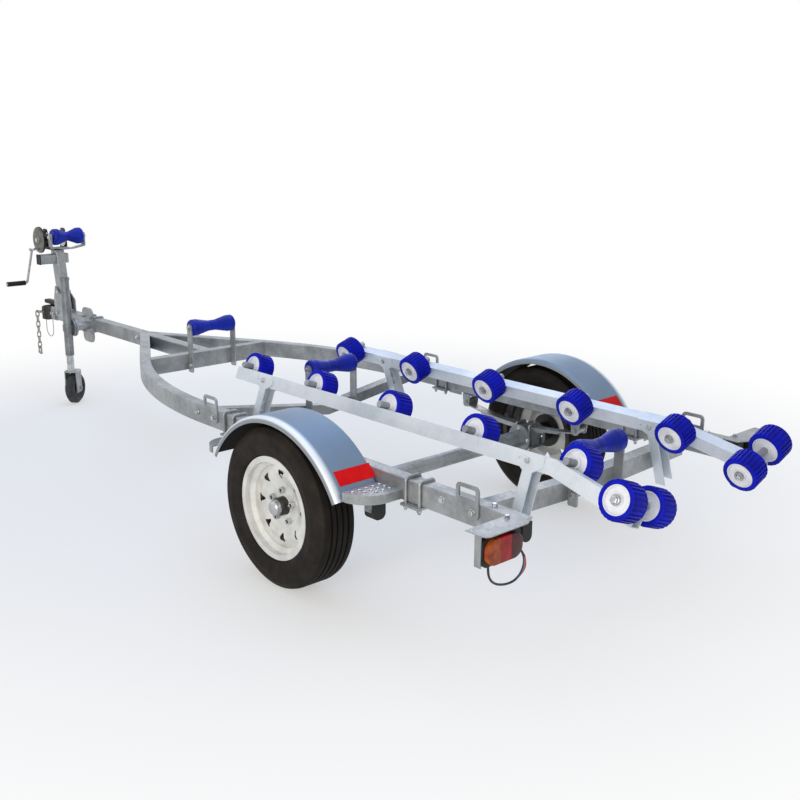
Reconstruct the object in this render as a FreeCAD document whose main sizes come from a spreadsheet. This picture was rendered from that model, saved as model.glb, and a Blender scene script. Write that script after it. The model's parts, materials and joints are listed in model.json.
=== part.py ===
import FreeCAD, Part
import math
import os
import re

import Sketcher
from FreeCAD import Placement, Rotation, Vector

# Driving dimensions in millimetres and degrees. Lengths along the trailer are measured from the axle,
# heights from the ground and widths from the centre line.
SIZES = [
    ("tyre_radius", 284, "tyre, outer radius"),
    ("tyre_wide", 160, "tyre, section width"),
    ("tyre_groove", 7, "tread groove depth"),
    ("wheel_gap", 13, "gap between a rail and its tyre"),
    ("rim_radius", 182, "rim flange radius"),
    ("rim_half", 65, "half width of the rim"),
    ("rim_wall", 4, "rim sheet thickness"),
    ("seat_radius", 166, "bead seat radius"),
    ("well_radius", 150, "drop well radius"),
    ("vent_count", 8, "vent holes in a wheel disc"),
    ("hub_radius", 32, "hub nose radius"),
    ("hub_flange", 70, "hub flange radius"),
    ("barrel_radius", 38, "hub barrel radius"),
    ("barrel_long", 44, "hub barrel length behind the flange"),
    ("stud_circle", 57.15, "wheel stud circle radius"),
    ("stud_radius", 6, "wheel stud radius"),
    ("nut_radius", 10, "wheel nut radius"),
    ("spindle_radius", 17, "axle spindle radius"),
    ("spindle_long", 78, "axle spindle length"),
    ("run_gap", 0.1, "running clearance of a bore on its pin"),
    ("seat_gap", 0.3, "clearance of a piece on its seat"),
    ("axle_radius", 28, "axle tube radius"),
    ("sleeve_radius", 34, "axle sleeve radius beside the springs"),
    ("sleeve_long", 110, "axle sleeve length"),
    ("flange_radius", 57, "bolted axle flange radius"),
    ("flange_thick", 8, "bolted axle flange thickness"),
    ("pad_high", 31, "half height of a spring pad on the axle"),
    ("rail_outer", 588, "centre line to the outside of a rail"),
    ("rail_wide", 50, "rail width"),
    ("rail_high", 75, "rail height"),
    ("rail_top", 482, "top of the rails above the ground"),
    ("rail_end", 915, "axle to the rear end of a rail"),
    ("tube_wall", 3, "wall of the box sections"),
    ("tube_round", 5, "outer corner radius of the box sections"),
    ("bend_start", 680, "axle to the start of a rail's bend"),
    ("bend_radius", 1900, "outer radius of a rail's bend"),
    ("bend_turn", 29, "turn of a rail's bend"),
    ("bar_wide", 60, "drawbar width"),
    ("bar_high", 70, "drawbar height"),
    ("bar_front", 3230, "axle to the drawbar's front end"),
    ("cross_wide", 50, "cross-member width along the trailer"),
    ("cross_front_x", 1545, "axle to the front cross-member's rear face"),
    ("cross_mid_x", 625, "axle to the middle cross-member's rear face"),
    ("cross_mid_top", 392, "middle cross-member's top at the centre"),
    ("cross_mid_high", 42, "middle cross-member's height"),
    ("cross_mid_rise", 80, "rise of the middle cross-member to a rail"),
    ("cross_rear_x", 762, "axle to the rear cross-member's rear face"),
    ("cross_rear_top", 431, "rear cross-member's top at the centre"),
    ("cross_rear_high", 64, "rear cross-member's height"),
    ("cross_rear_rise", 20, "rise of the rear cross-member to a rail"),
    ("bunk_out", 329, "centre line to a bunk's outer top edge"),
    ("bunk_top", 580, "height of a bunk's outer top edge"),
    ("bunk_wide", 41, "bunk section width"),
    ("bunk_high", 51, "bunk section height"),
    ("bunk_front", 805, "axle to a bunk's front end"),
    ("bunk_kink", 870, "axle to the bend near a bunk's rear end"),
    ("bunk_rear", 1190, "axle to a bunk's rear end"),
    ("bunk_drop", 13, "downward bend of a bunk's rear end"),
    ("deadrise", 20, "tilt of the bunks and their rollers"),
    ("post_wall", 4, "bunk post sheet thickness"),
    ("post_deep", 38, "bunk post depth along the trailer"),
    ("post_below", 12, "post length below its cross-member"),
    ("ear_ahead", 35, "reach of a post's ear plate past its strap"),
    ("ear_low", 38, "depth of an ear plate's square part"),
    ("slot_wide", 9, "width of the adjusting slots"),
    ("slot_long", 34, "length of the adjusting slots"),
    ("roller_radius", 60, "wobble roller radius"),
    ("roller_wide", 70, "wobble roller width"),
    ("roller_gap", 6, "gap between a roller and its bunk"),
    ("roller_first", 777, "axle to the first wobble roller"),
    ("roller_pitch", 421, "spacing of the wobble rollers"),
    ("dish_radius", 41, "radius of a roller's dished face"),
    ("dish_deep", 7, "depth of a roller's dished face"),
    ("boss_radius", 19, "radius of a roller's centre boss"),
    ("pair_x", 1168, "axle to the rear roller pair"),
    ("pair_inner_gap", 25, "bunk to the inner roller of a pair"),
    ("pair_outer_gap", 20, "bunk to the outer roller of a pair"),
    ("stub_radius", 12, "roller axle bar radius"),
    ("pin_radius", 8, "roller pin radius"),
    ("washer_radius", 16, "radius of the washers on the roller pins"),
    ("keel_half", 115, "half length of a keel roller"),
    ("keel_radius", 39, "keel roller end radius"),
    ("keel_waist", 25, "keel roller waist radius"),
    ("keel_end", 30, "length of a keel roller's straight end"),
    ("keel_front_top", 610, "front keel roller's axis height"),
    ("keel_mid_top", 566, "middle keel roller's axis height"),
    ("keel_rear_top", 535, "rear keel roller's axis height"),
    ("strap_wide", 38, "keel bracket strap width"),
    ("strap_thick", 6, "keel bracket strap thickness"),
    ("strap_over", 18, "keel strap above its roller's axis"),
    ("strap_below", 12, "keel strap below its cross-member"),
    ("spring_half", 300, "half length of a leaf spring"),
    ("spring_wide", 45, "leaf width"),
    ("leaf_thick", 6, "leaf thickness"),
    ("spring_rise", 28, "camber of the springs"),
    ("spring_shift", 30, "axle to the middle between the spring eyes"),
    ("eye_radius", 16, "spring eye radius"),
    ("eye_pin", 8, "spring eye pin radius"),
    ("cheek_wide", 44, "width of a spring hanger's cheek"),
    ("cheek_thick", 5, "thickness of a spring hanger's cheek"),
    ("clamp_long", 110, "length of an axle clamp plate"),
    ("clamp_wide", 84, "width of an axle clamp plate"),
    ("clamp_thick", 8, "thickness of an axle clamp plate"),
    ("ubolt_radius", 5, "radius of the U-bolt rods"),
    ("guard_gap", 116, "mudguard crown radius past the tyre's"),
    ("guard_low", 72, "mudguard centre below the axle"),
    ("guard_half", 93, "half width of a mudguard"),
    ("guard_sheet", 2.5, "mudguard sheet thickness"),
    ("guard_lip", 22, "depth of a mudguard's outer lip"),
    ("guard_round", 15, "mudguard crown edge radius"),
    ("guard_turn", 120, "arc covered by a mudguard"),
    ("guard_back", 30, "mudguard centre behind the axle"),
    ("step_top", 444, "height of the step plate"),
    ("step_front", 377, "axle to the step plate's front edge"),
    ("step_long", 104, "step plate length"),
    ("step_out", 162, "step plate reach from the rail"),
    ("step_lip", 30, "depth of the step plate's folded edge"),
    ("step_sheet", 4, "step plate thickness"),
    ("tab_front", 488, "axle to the front tab's front edge"),
    ("tab_long", 74, "front tab length"),
    ("tab_out", 128, "front tab reach from the rail"),
    ("tab_top", 404, "height of the front tab"),
    ("tab_lip", 26, "depth of the front tab's folded edge"),
    ("band_front", 486, "axle to the front U-bolts on the rails"),
    ("band_rear", 530, "axle to the rear U-bolts on the rails"),
    ("band_pitch", 62, "spacing of the rods in a rail U-bolt"),
    ("lamp_deep", 80, "length of the lamp bracket along the trailer"),
    ("lamp_out", 760, "centre line to the lamp bracket's outer side"),
    ("lamp_in", 545, "centre line to the lamp bracket's inner side"),
    ("lamp_sheet", 3, "lamp bracket sheet thickness"),
    ("lamp_high", 84, "height of a lamp case"),
    ("lamp_wide", 152, "width of a lamp case"),
    ("lamp_thick", 26, "depth of a lamp case"),
    ("lens_thick", 14, "depth of a lamp lens"),
    ("lens_edge", 4, "rim of the case round the lens"),
    ("lamp_drop", 8, "lamp case below its bracket"),
    ("plate_lamp_y", 567, "centre line to the small lamp on the rail end"),
    ("marker_out", 660, "centre line to the side marker"),
    ("marker_x", 452, "axle to the side marker"),
    ("cable_radius", 3.5, "lamp cable radius"),
    ("loop_front_x", 628, "axle to the front tie-down loop"),
    ("loop_rear_x", 762, "axle to the rear tie-down loop"),
    ("loop_long", 92, "tie-down loop length"),
    ("loop_high", 48, "tie-down loop above the rail"),
    ("loop_bar", 9, "tie-down loop bar thickness"),
    ("jack_x", 2760, "axle to the jack's centre line"),
    ("jack_y", 158, "centre line to the jack's centre line"),
    ("jack_radius", 24, "jack outer tube radius"),
    ("jack_top", 708, "top of the jack's outer tube"),
    ("jack_foot", 285, "bottom of the jack's outer tube"),
    ("jack_pivot", 440, "height of the jack's swing pivot"),
    ("leg_radius", 20, "jack inner tube radius"),
    ("leg_foot", 196, "bottom of the jack's inner tube"),
    ("caster_radius", 88, "jack wheel radius"),
    ("caster_wide", 54, "jack wheel width"),
    ("caster_trail", 35, "jack wheel offset from the leg"),
    ("caster_turn", 129, "turn of the parked caster from straight back"),
    ("clamp_half", 62, "half length of the jack's clamp plate"),
    ("clamp_low", 345, "bottom of the jack's clamp plate"),
    ("clamp_top", 540, "top of the jack's clamp plate"),
    ("lock_radius", 52, "jack locking disc radius"),
    ("post_x", 3112, "axle to the winch post's foot"),
    ("post_side", 75, "winch post depth along the trailer"),
    ("post_wide", 50, "winch post width"),
    ("post_rake", 9.2, "forward rake of the winch post"),
    ("post_high", 834, "top of the winch post"),
    ("gusset_thick", 5, "thickness of the plates at the post's foot"),
    ("beam_low", 752, "bottom of the winch cross tube"),
    ("beam_high", 56, "height of the winch cross tube"),
    ("beam_deep", 46, "depth of the winch cross tube"),
    ("beam_left", 118, "centre line to the cross tube's left end"),
    ("beam_right", 52, "centre line to the cross tube's right end"),
    ("bow_x", 3030, "axle to the bow roller"),
    ("bow_top", 918, "bow roller's axis height"),
    ("bow_half", 88, "half length of the bow roller"),
    ("bow_radius", 46, "bow roller end radius"),
    ("bow_waist", 26, "bow roller waist radius"),
    ("yoke_wide", 40, "bow roller yoke strap width"),
    ("yoke_thick", 6, "bow roller yoke strap thickness"),
    ("yoke_low", 846, "bow roller yoke, underside"),
    ("winch_x", 3194, "axle to the winch drum's centre"),
    ("winch_z", 890, "winch drum's centre height"),
    ("drum_radius", 24, "winch drum barrel radius"),
    ("drum_flange", 46, "winch drum flange radius"),
    ("drum_bore", 10, "winch drum shaft radius"),
    ("winch_half", 52, "half spacing of the winch side plates"),
    ("winch_sheet", 4, "winch side plate thickness"),
    ("cover_radius", 76, "winch gear cover radius"),
    ("cover_near", 88, "centre line to the gear cover"),
    ("cover_thick", 9, "winch gear cover thickness"),
    ("crank_x", 3196, "axle to the crank's shaft"),
    ("crank_z", 838, "crank shaft height"),
    ("crank_drop", 205, "crank grip below its shaft"),
    ("crank_ahead", 104, "crank grip ahead of its shaft"),
    ("crank_side", 141, "centre line to the crank's bent bar"),
    ("crank_radius", 7, "crank bar radius"),
    ("grip_long", 108, "crank grip length"),
    ("grip_radius", 14, "crank grip radius"),
    ("nose_front", 3385, "axle to the front of the coupling"),
    ("ball_radius", 25.2, "coupling socket radius"),
    ("socket_x", 3345, "axle to the coupling ball's centre"),
    ("socket_deep", 33, "depth of the ball socket"),
    ("sleeve_start", 3190, "axle to the rear end of the coupling's sleeve"),
    ("sleeve_wall", 5, "coupling sleeve wall"),
    ("head_wide", 84, "coupling head width"),
    ("handle_long", 196, "coupling handle length"),
    ("handle_wide", 36, "coupling handle width"),
    ("handle_thick", 24, "coupling handle thickness"),
    ("chain_wire", 3.5, "safety chain wire radius"),
    ("chain_bend", 9.5, "safety chain link bend radius"),
    ("chain_straight", 10, "half length of a link's straight side"),
]

doc = FreeCAD.newDocument("boat_trailer")
sheet = doc.addObject("Spreadsheet::Sheet", "sizes")
for row, (alias, start, note) in enumerate(SIZES, start=1):
    sheet.set(f"A{row}", str(start))
    sheet.setAlias(f"A{row}", alias)
    sheet.set(f"B{row}", note)
doc.recompute()
ALIASES = {alias for alias, start, note in SIZES}

# The row's origin lies on the ground, half way between the coupling's front and the rear rollers' treads.
MIDDLE = "(nose_front - pair_x - roller_radius) / 2"

nodes = []


def formula(text):
    def cell(match):
        word = match.group(0)
        return "sizes." + word if word in ALIASES else word

    return re.sub(r"[a-z_]+", cell, str(text))


def number(text):
    value = sheet.evalExpression(formula(text))
    return float(getattr(value, "Value", value))


def bind(thing, prop, text):
    thing.setExpression(prop, formula(text))


def place(thing, x="0", y="0", z="0"):
    bind(thing, "Placement.Base.x", f"{x} - {MIDDLE}")
    bind(thing, "Placement.Base.y", y)
    bind(thing, "Placement.Base.z", z)
    return thing


def turn(thing, axis, text):
    thing.Placement = Placement(thing.Placement.Base, Rotation(axis, number(text)))
    return thing


def keep(thing, label):
    thing.Label = label
    nodes.append(thing)
    return thing


def origin_plane(body, role):
    return next(feature for feature in body.Origin.OriginFeatures if feature.Role == role)


def arc_middle(start, end, radius, side):
    half = (end - start).Length / 2
    across = Vector(-(end - start).y, (end - start).x, 0).normalize()
    return (start + end) / 2 + across * side * (radius - math.sqrt(radius * radius - half * half))


# An upright slot with round ends, in the middle of (across, up)
def add_slot(sketch, across, up, wide, high):
    corners = [
        (f"{across} + {sideways} * {wide} / 2", f"{up} + {upwards} * {high} / 2")
        for sideways, upwards in ((-1, -1), (1, -1), (1, 1), (-1, 1))
    ]
    add_outline(sketch, corners, {index: f"{wide} * 0.49" for index in range(4)})


def add_circle(sketch, x, y, radius):
    index = sketch.addGeometry(Part.Circle(Vector(number(x), number(y), 0), Vector(0, 0, 1), number(radius)), False)
    for kind, text in (("DistanceX", x), ("DistanceY", y)):
        tie = sketch.addConstraint(Sketcher.Constraint(kind, index, 3, number(text)))
        bind(sketch, f"Constraints[{tie}]", text)
    tie = sketch.addConstraint(Sketcher.Constraint("Radius", index, number(radius)))
    bind(sketch, f"Constraints[{tie}]", radius)


# A closed outline. Each corner is (across, up), or (across, up, arc radius, side) where an arc leads to the
# next corner, bulging to the left (1) or right (-1) of the way round.
def add_outline(sketch, corners, rounds=None):
    points = [Vector(number(corner[0]), number(corner[1]), 0) for corner in corners]
    count = len(points)
    first = sketch.GeometryCount
    ends = []
    for index, corner in enumerate(corners):
        start = points[index]
        end = points[(index + 1) % count]
        ends.append((1, 2))
        if len(corner) == 2:
            sketch.addGeometry(Part.LineSegment(start, end), False)
            continue
        middle = arc_middle(start, end, number(corner[2]), corner[3])
        if corner[3] > 0:
            start, end = end, start
            ends[-1] = (2, 1)
        sketch.addGeometry(Part.Arc(start, middle, end), False)
    for index in range(count):
        after = (index + 1) % count
        sketch.addConstraint(
            Sketcher.Constraint("Coincident", first + index, ends[index][1], first + after, ends[after][0])
        )
    for index, corner in enumerate(corners):
        for kind, text, value in (
            ("DistanceX", corner[0], points[index].x),
            ("DistanceY", corner[1], points[index].y),
        ):
            tie = sketch.addConstraint(Sketcher.Constraint(kind, first + index, ends[index][0], value))
            bind(sketch, f"Constraints[{tie}]", text)
        if len(corner) > 2:
            tie = sketch.addConstraint(Sketcher.Constraint("Radius", first + index, number(corner[2])))
            bind(sketch, f"Constraints[{tie}]", corner[2])
    for index, text in (rounds or {}).items():
        radius = number(text)
        corner = points[index]
        back = (points[index - 1] - corner).normalize() * radius / 2
        ahead = (points[(index + 1) % count] - corner).normalize() * radius / 2
        before = first + (index - 1) % count
        sketch.fillet(before, first + index, corner + back, corner + ahead, radius, True, True)
        arc = max(i for i in range(sketch.GeometryCount) if isinstance(sketch.Geometry[i], Part.ArcOfCircle))
        tie = sketch.addConstraint(Sketcher.Constraint("Radius", arc, radius))
        bind(sketch, f"Constraints[{tie}]", text)


def new_body(name):
    body = doc.addObject("PartDesign::Body", name)
    place(body)
    return body


def new_sketch(body, name, role):
    sketch = body.newObject("Sketcher::SketchObject", name)
    sketch.AttachmentSupport = [(origin_plane(body, role), "")]
    sketch.MapMode = "FlatFace"
    return sketch


def outline(body, name, role, corners, rounds=None):
    sketch = new_sketch(body, name, role)
    add_outline(sketch, corners, rounds)
    return sketch


def pad(body, sketch, length, both_ways=True):
    feature = body.newObject("PartDesign::Pad", sketch.Name + "_pad")
    feature.Profile = sketch
    bind(feature, "Length", length)
    feature.Midplane = both_ways
    return feature


def pocket(body, sketch, length):
    feature = body.newObject("PartDesign::Pocket", sketch.Name + "_pocket")
    feature.Profile = sketch
    bind(feature, "Length", length)
    feature.Midplane = True
    return feature


def revolve(body, sketch, axis="V_Axis", angle="360", both_ways=False):
    feature = body.newObject("PartDesign::Revolution", sketch.Name + "_turn")
    feature.Profile = sketch
    feature.ReferenceAxis = (sketch, [axis])
    bind(feature, "Angle", angle)
    feature.Midplane = both_ways
    return feature


def round_edges(body, base, picked, radius):
    doc.recompute()
    names = [f"Edge{i}" for i, edge in enumerate(base.Shape.Edges, start=1) if picked(edge)]
    feature = body.newObject("PartDesign::Fillet", base.Name + "_round")
    feature.Base = (base, names)
    bind(feature, "Radius", radius)
    return feature


def polar(body, feature, sketch, axis, count):
    pattern = body.newObject("PartDesign::PolarPattern", feature.Name + "_ring")
    pattern.Originals = [feature]
    pattern.Axis = (sketch, [axis])
    pattern.Angle = 360
    bind(pattern, "Occurrences", count)
    body.Tip = pattern
    return pattern


# A flat plate, as thick as given. It grows towards +Z from the XY plane, -Y from the XZ plane and +X from the
# YZ plane.
def plate(name, role, corners, thick, at, rounds=None, holes=()):
    body = new_body(name)
    sketch = outline(body, name + "_outline", role, corners, rounds)
    for across, up, radius in holes:
        add_circle(sketch, across, up, radius)
    pad(body, sketch, thick, both_ways=False)
    return place(body, *at)


def block(name, size, at):
    box = doc.addObject("Part::Box", name)
    for prop, text in zip(("Length", "Width", "Height"), size):
        bind(box, prop, text)
    return place(box, *at)


AXIS_TURN = {
    "x": Rotation(Vector(0, 1, 0), 90),
    "y": Rotation(Vector(1, 0, 0), -90),
    "z": Rotation(),
}


def cylinder(name, radius, length, at, axis="z"):
    bar = doc.addObject("Part::Cylinder", name)
    bind(bar, "Radius", radius)
    bind(bar, "Height", length)
    bar.Placement = Placement(Vector(), AXIS_TURN[axis])
    return place(bar, *at)


def fuse(name, things):
    union = doc.addObject("Part::MultiFuse", name)
    union.Shapes = things
    return union


def cut(name, base, tool):
    rest = doc.addObject("Part::Cut", name)
    rest.Base = base
    rest.Tool = tool
    return rest


def group(name, things):
    pile = doc.addObject("Part::Compound", name)
    pile.Links = things
    return pile


def mirrored(name, thing):
    twin = doc.addObject("Part::Mirroring", name)
    twin.Source = thing
    twin.Normal = Vector(0, 1, 0)
    return twin


def both_sides(name, thing):
    return group(name, [thing, mirrored(name + "_twin", thing)])


def made(name, shape):
    feature = doc.addObject("Part::Feature", name)
    feature.Shape = shape
    feature.Placement = Placement(Vector(-number(MIDDLE), 0, 0), Rotation()).multiply(shape.Placement)
    return feature


# A round bar bent with tangent arcs at its inner points
def bent_bar(points, bend, radius):
    edges = []
    start = points[0]
    for before, corner, after in zip(points, points[1:], points[2:]):
        into = (corner - before).normalize()
        away = (after - corner).normalize()
        reach = bend * math.tan(into.getAngle(away) / 2)
        arc_start = corner - into * reach
        arc_end = corner + away * reach
        inward = (away - into).normalize()
        depth = bend / math.cos(into.getAngle(away) / 2) - bend
        edges.append(Part.LineSegment(start, arc_start).toShape())
        edges.append(Part.Arc(arc_start, corner + inward * depth, arc_end).toShape())
        start = arc_end
    edges.append(Part.LineSegment(start, points[-1]).toShape())
    path = Part.Wire(edges)
    ring = Part.Wire([Part.makeCircle(radius, points[0], points[1] - points[0])])
    return path.makePipeShell([ring], True, False)


# A U-bolt standing across the trailer, its two legs at the given sides
def u_bolt(x, sides, low, top, radius):
    near, far = sides
    points = [Vector(x, near, low), Vector(x, near, top), Vector(x, far, top), Vector(x, far, low)]
    return bent_bar(points, 2.4 * radius, radius)


# Places on a tilted bunk: out is measured from its outer top edge away from the centre line, up from its top.
def bunk_y(side, out, up):
    return f"{side} * (bunk_out + ({out}) * cos(deadrise) - ({up}) * sin(deadrise))"


def bunk_z(out, up):
    return f"bunk_top + ({out}) * sin(deadrise) + ({up}) * cos(deadrise)"


# Both outlines of a box section, the inner one a wall inside the outer
def box_section(sketch, wide, high, at="0"):
    for inset in ("0", "tube_wall"):
        corners = [
            (f"{at} - {wide} / 2 + {inset}", f"-{high} / 2 + {inset}"),
            (f"{at} + {wide} / 2 - {inset}", f"-{high} / 2 + {inset}"),
            (f"{at} + {wide} / 2 - {inset}", f"{high} / 2 - {inset}"),
            (f"{at} - {wide} / 2 + {inset}", f"{high} / 2 - {inset}"),
        ]
        corner_round = f"tube_round - {inset} * 0.9"
        add_outline(sketch, corners, {index: corner_round for index in range(4)})


# Drawbar
bar = new_body("drawbar_body")
bar_profile = new_sketch(bar, "drawbar_section", "YZ_Plane")
box_section(bar_profile, "bar_wide", "bar_high")
pad(bar, bar_profile, "bar_front - cross_front_x - cross_wide", both_ways=False)
place(bar, "cross_front_x + cross_wide", "0", "rail_top - bar_high / 2")
keep(bar, "drawbar")


# Side rail: a hollow box section swept along its plan line, straight beside the wheel, one bend, then straight
# to the drawbar's side, where it is cut flush
RAIL_LINE = "(rail_outer - rail_wide / 2)"
LINE_BEND = "(bend_radius - rail_wide / 2)"
BEND_CENTRE = "(rail_outer - bend_radius)"
BEND_END_X = f"(bend_start + {LINE_BEND} * sin(bend_turn))"
BEND_END_Y = f"({BEND_CENTRE} + {LINE_BEND} * cos(bend_turn))"


def bent_path(body, name, stations, radius):
    sketch = new_sketch(body, name, "XY_Plane")
    points = [Vector(number(x), number(y), 0) for x, y in stations]
    middle = arc_middle(points[1], points[2], number(radius), 1)
    sketch.addGeometry(Part.LineSegment(points[0], points[1]), False)
    sketch.addGeometry(Part.Arc(points[1], middle, points[2]), False)
    sketch.addGeometry(Part.LineSegment(points[2], points[3]), False)
    sketch.addConstraint(Sketcher.Constraint("Coincident", 0, 2, 1, 2))
    sketch.addConstraint(Sketcher.Constraint("Coincident", 1, 1, 2, 1))
    spots = ((0, 1), (0, 2), (2, 1), (2, 2))
    for (x, y), point, (piece, end) in zip(stations, points, spots):
        for kind, text, value in (("DistanceX", x, point.x), ("DistanceY", y, point.y)):
            tie = sketch.addConstraint(Sketcher.Constraint(kind, piece, end, value))
            bind(sketch, f"Constraints[{tie}]", text)
    tie = sketch.addConstraint(Sketcher.Constraint("Radius", 1, number(radius)))
    bind(sketch, f"Constraints[{tie}]", radius)
    return sketch


rail = new_body("side_rail_left_body")
rail_path = bent_path(
    rail,
    "rail_path",
    [
        ("-rail_end", RAIL_LINE),
        ("bend_start", RAIL_LINE),
        (BEND_END_X, BEND_END_Y),
        (f"{BEND_END_X} + {BEND_END_Y} / tan(bend_turn)", "0"),
    ],
    LINE_BEND,
)
rail_section = new_sketch(rail, "rail_section", "YZ_Plane")
bind(rail_section, "AttachmentOffset.Base.z", "-rail_end")
box_section(rail_section, "rail_wide", "rail_high", RAIL_LINE)
rail_sweep = rail.newObject("PartDesign::AdditivePipe", "rail_sweep")
rail_sweep.Profile = rail_section
rail_sweep.Spine = rail_path
flush_cut = outline(
    rail,
    "rail_flush_cut",
    "XY_Plane",
    [
        ("bend_start", "-2 * bar_wide"),
        ("bar_front", "-2 * bar_wide"),
        ("bar_front", "bar_wide / 2"),
        ("bend_start", "bar_wide / 2"),
    ],
)
pocket(rail, flush_cut, "2 * rail_high")
place(rail, "0", "0", "rail_top - rail_high / 2")
keep(both_sides("side_rails_both", rail), "side_rails")

# Front cross-member, mitred to the rails' inner faces
INNER_BEND = "(bend_radius - rail_wide)"


def rail_inner_y(x):
    return f"(rail_outer - bend_radius + sqrt({INNER_BEND}^2 - ({x} - bend_start)^2))"


front_member = new_body("cross_member_front_body")
rear_x = "cross_front_x"
fore_x = "(cross_front_x + cross_wide)"
front_outline = outline(
    front_member,
    "front_member_plan",
    "XY_Plane",
    [
        (rear_x, "-" + rail_inner_y(rear_x)),
        (fore_x, "-" + rail_inner_y(fore_x)),
        (fore_x, rail_inner_y(fore_x)),
        (rear_x, rail_inner_y(rear_x)),
    ],
)
pad(front_member, front_outline, "rail_high")
front_bore = outline(
    front_member,
    "front_member_bore",
    "XZ_Plane",
    [
        (f"{rear_x} + tube_wall", "-rail_high / 2 + tube_wall"),
        (f"{fore_x} - tube_wall", "-rail_high / 2 + tube_wall"),
        (f"{fore_x} - tube_wall", "rail_high / 2 - tube_wall"),
        (f"{rear_x} + tube_wall", "rail_high / 2 - tube_wall"),
    ],
)
pocket(front_member, front_bore, "4 * rail_outer")
place(front_member, "0", "0", "rail_top - rail_high / 2")


# Middle and rear cross-members: shallow hollow V shapes between the rails, lowest under the keel
def v_member(name, rear_face, top, high, rise):
    body = new_body(name + "_body")
    end = "(rail_outer - rail_wide)"

    def vee(reach, wall):
        lift = f"{rise} * {reach} / {end}"
        return [
            (f"-{reach}", f"{top} + {lift} - {wall}"),
            ("0", f"{top} - {wall}"),
            (reach, f"{top} + {lift} - {wall}"),
            (reach, f"{top} + {lift} - {high} + {wall}"),
            ("0", f"{top} - {high} + {wall}"),
            (f"-{reach}", f"{top} + {lift} - {high} + {wall}"),
        ]

    pad(body, outline(body, name + "_front_view", "YZ_Plane", vee(end, "0")), "cross_wide")
    bore = outline(body, name + "_bore", "YZ_Plane", vee(f"({end} + tube_wall)", "tube_wall"))
    pocket(body, bore, "cross_wide - 2 * tube_wall")
    place(body, f"{rear_face} + cross_wide / 2")
    return body


middle_member = v_member("cross_member_middle", "cross_mid_x", "cross_mid_top", "cross_mid_high", "cross_mid_rise")
rear_member = v_member("cross_member_rear", "-cross_rear_x", "cross_rear_top", "cross_rear_high", "cross_rear_rise")
keep(group("cross_members_group", [front_member, middle_member, rear_member]), "cross_members")

# Bunk: a hollow bar drawn from the side in its own tilted frame, bent down behind the last single roller
bunk = new_body("bunk_left_body")


# The bunk's side view, or its bore, which runs past both open ends
def bunk_view(inset, past):
    drop_end = f"((bunk_rear - bunk_kink) / cos(bunk_drop) + {past})"
    fold = "tan(bunk_drop / 2)"
    deep = f"(bunk_high - {inset})"
    return [
        (f"bunk_front + {past}", f"-{inset}"),
        (f"-bunk_kink + {inset} * {fold}", f"-{inset}"),
        (
            f"-bunk_kink - {drop_end} * cos(bunk_drop) + {inset} * sin(bunk_drop)",
            f"-{drop_end} * sin(bunk_drop) - {inset} * cos(bunk_drop)",
        ),
        (
            f"-bunk_kink - {drop_end} * cos(bunk_drop) + {deep} * sin(bunk_drop)",
            f"-{drop_end} * sin(bunk_drop) - {deep} * cos(bunk_drop)",
        ),
        (f"-bunk_kink + {deep} * {fold}", f"-{deep}"),
        (f"bunk_front + {past}", f"-{deep}"),
    ]


pad(bunk, outline(bunk, "bunk_side_view", "XZ_Plane", bunk_view("0", "0")), "bunk_wide")
bunk_bore = outline(bunk, "bunk_bore", "XZ_Plane", bunk_view("tube_wall", "tube_wall"))
pocket(bunk, bunk_bore, "bunk_wide - 2 * tube_wall")
turn(bunk, Vector(1, 0, 0), "deadrise")
place(bunk, "0", bunk_y(1, "-bunk_wide / 2", "0"), bunk_z("-bunk_wide / 2", "0"))
keep(both_sides("bunks_both", bunk), "bunks")


# Bunk posts: channels open to the rear, with an ear plate on each side of the bunk and an adjusting slot
def bunk_post(name, face_x, member_bottom):
    body = new_body(name)
    foot = f"(({member_bottom} - post_below - bunk_top) / cos(deadrise) - bunk_wide)"
    outer = "(seat_gap + post_wall)"
    inner = "(bunk_wide + seat_gap)"
    plan = outline(
        body,
        name + "_plan",
        "XY_Plane",
        [
            ("0", f"-{inner} - post_wall"),
            ("0", outer),
            ("-post_deep", outer),
            ("-post_deep", "seat_gap"),
            ("-post_wall", "seat_gap"),
            ("-post_wall", f"-{inner}"),
            ("-post_deep", f"-{inner}"),
            ("-post_deep", f"-{inner} - post_wall"),
        ],
    )
    channel = pad(body, plan, f"-{foot}", both_ways=False)
    channel.Reversed = True
    web_end = "-bunk_high - seat_gap"
    notch = outline(
        body,
        name + "_notch",
        "XZ_Plane",
        [
            ("post_wall", "post_wall"),
            ("post_wall", web_end),
            ("-2 * post_wall", web_end),
            ("-2 * post_wall", "post_wall"),
        ],
    )
    pocket(body, notch, f"2 * {inner}")
    slot = new_sketch(body, name + "_slot", "YZ_Plane")
    add_slot(slot, "-bunk_wide / 2", "-bunk_high - 1.5 * slot_long", "slot_wide", "slot_long")
    pocket(body, slot, "4 * post_wall")
    for word, face in (("outer", f"-{outer}"), ("inner", inner)):
        ear = outline(
            body,
            f"{name}_ear_{word}",
            "XZ_Plane",
            [
                ("ear_ahead", "0"),
                ("ear_ahead", "-ear_low"),
                ("0", "-bunk_high - 2 * post_wall"),
                ("-post_deep", "-bunk_high - 2 * post_wall"),
                ("-post_deep - ear_ahead", "-ear_low"),
                ("-post_deep - ear_ahead", "0"),
            ],
            {0: "8", 1: "12", 4: "12", 5: "8"},
        )
        add_circle(ear, "ear_ahead * 0.6", "-bunk_high / 2", "slot_wide / 2")
        bind(ear, "AttachmentOffset.Base.z", face)
        pad(body, ear, "post_wall", both_ways=False)
    turn(body, Vector(1, 0, 0), "deadrise")
    place(body, face_x, bunk_y(1, "0", "0"), bunk_z("0", "0"))
    return body


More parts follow.
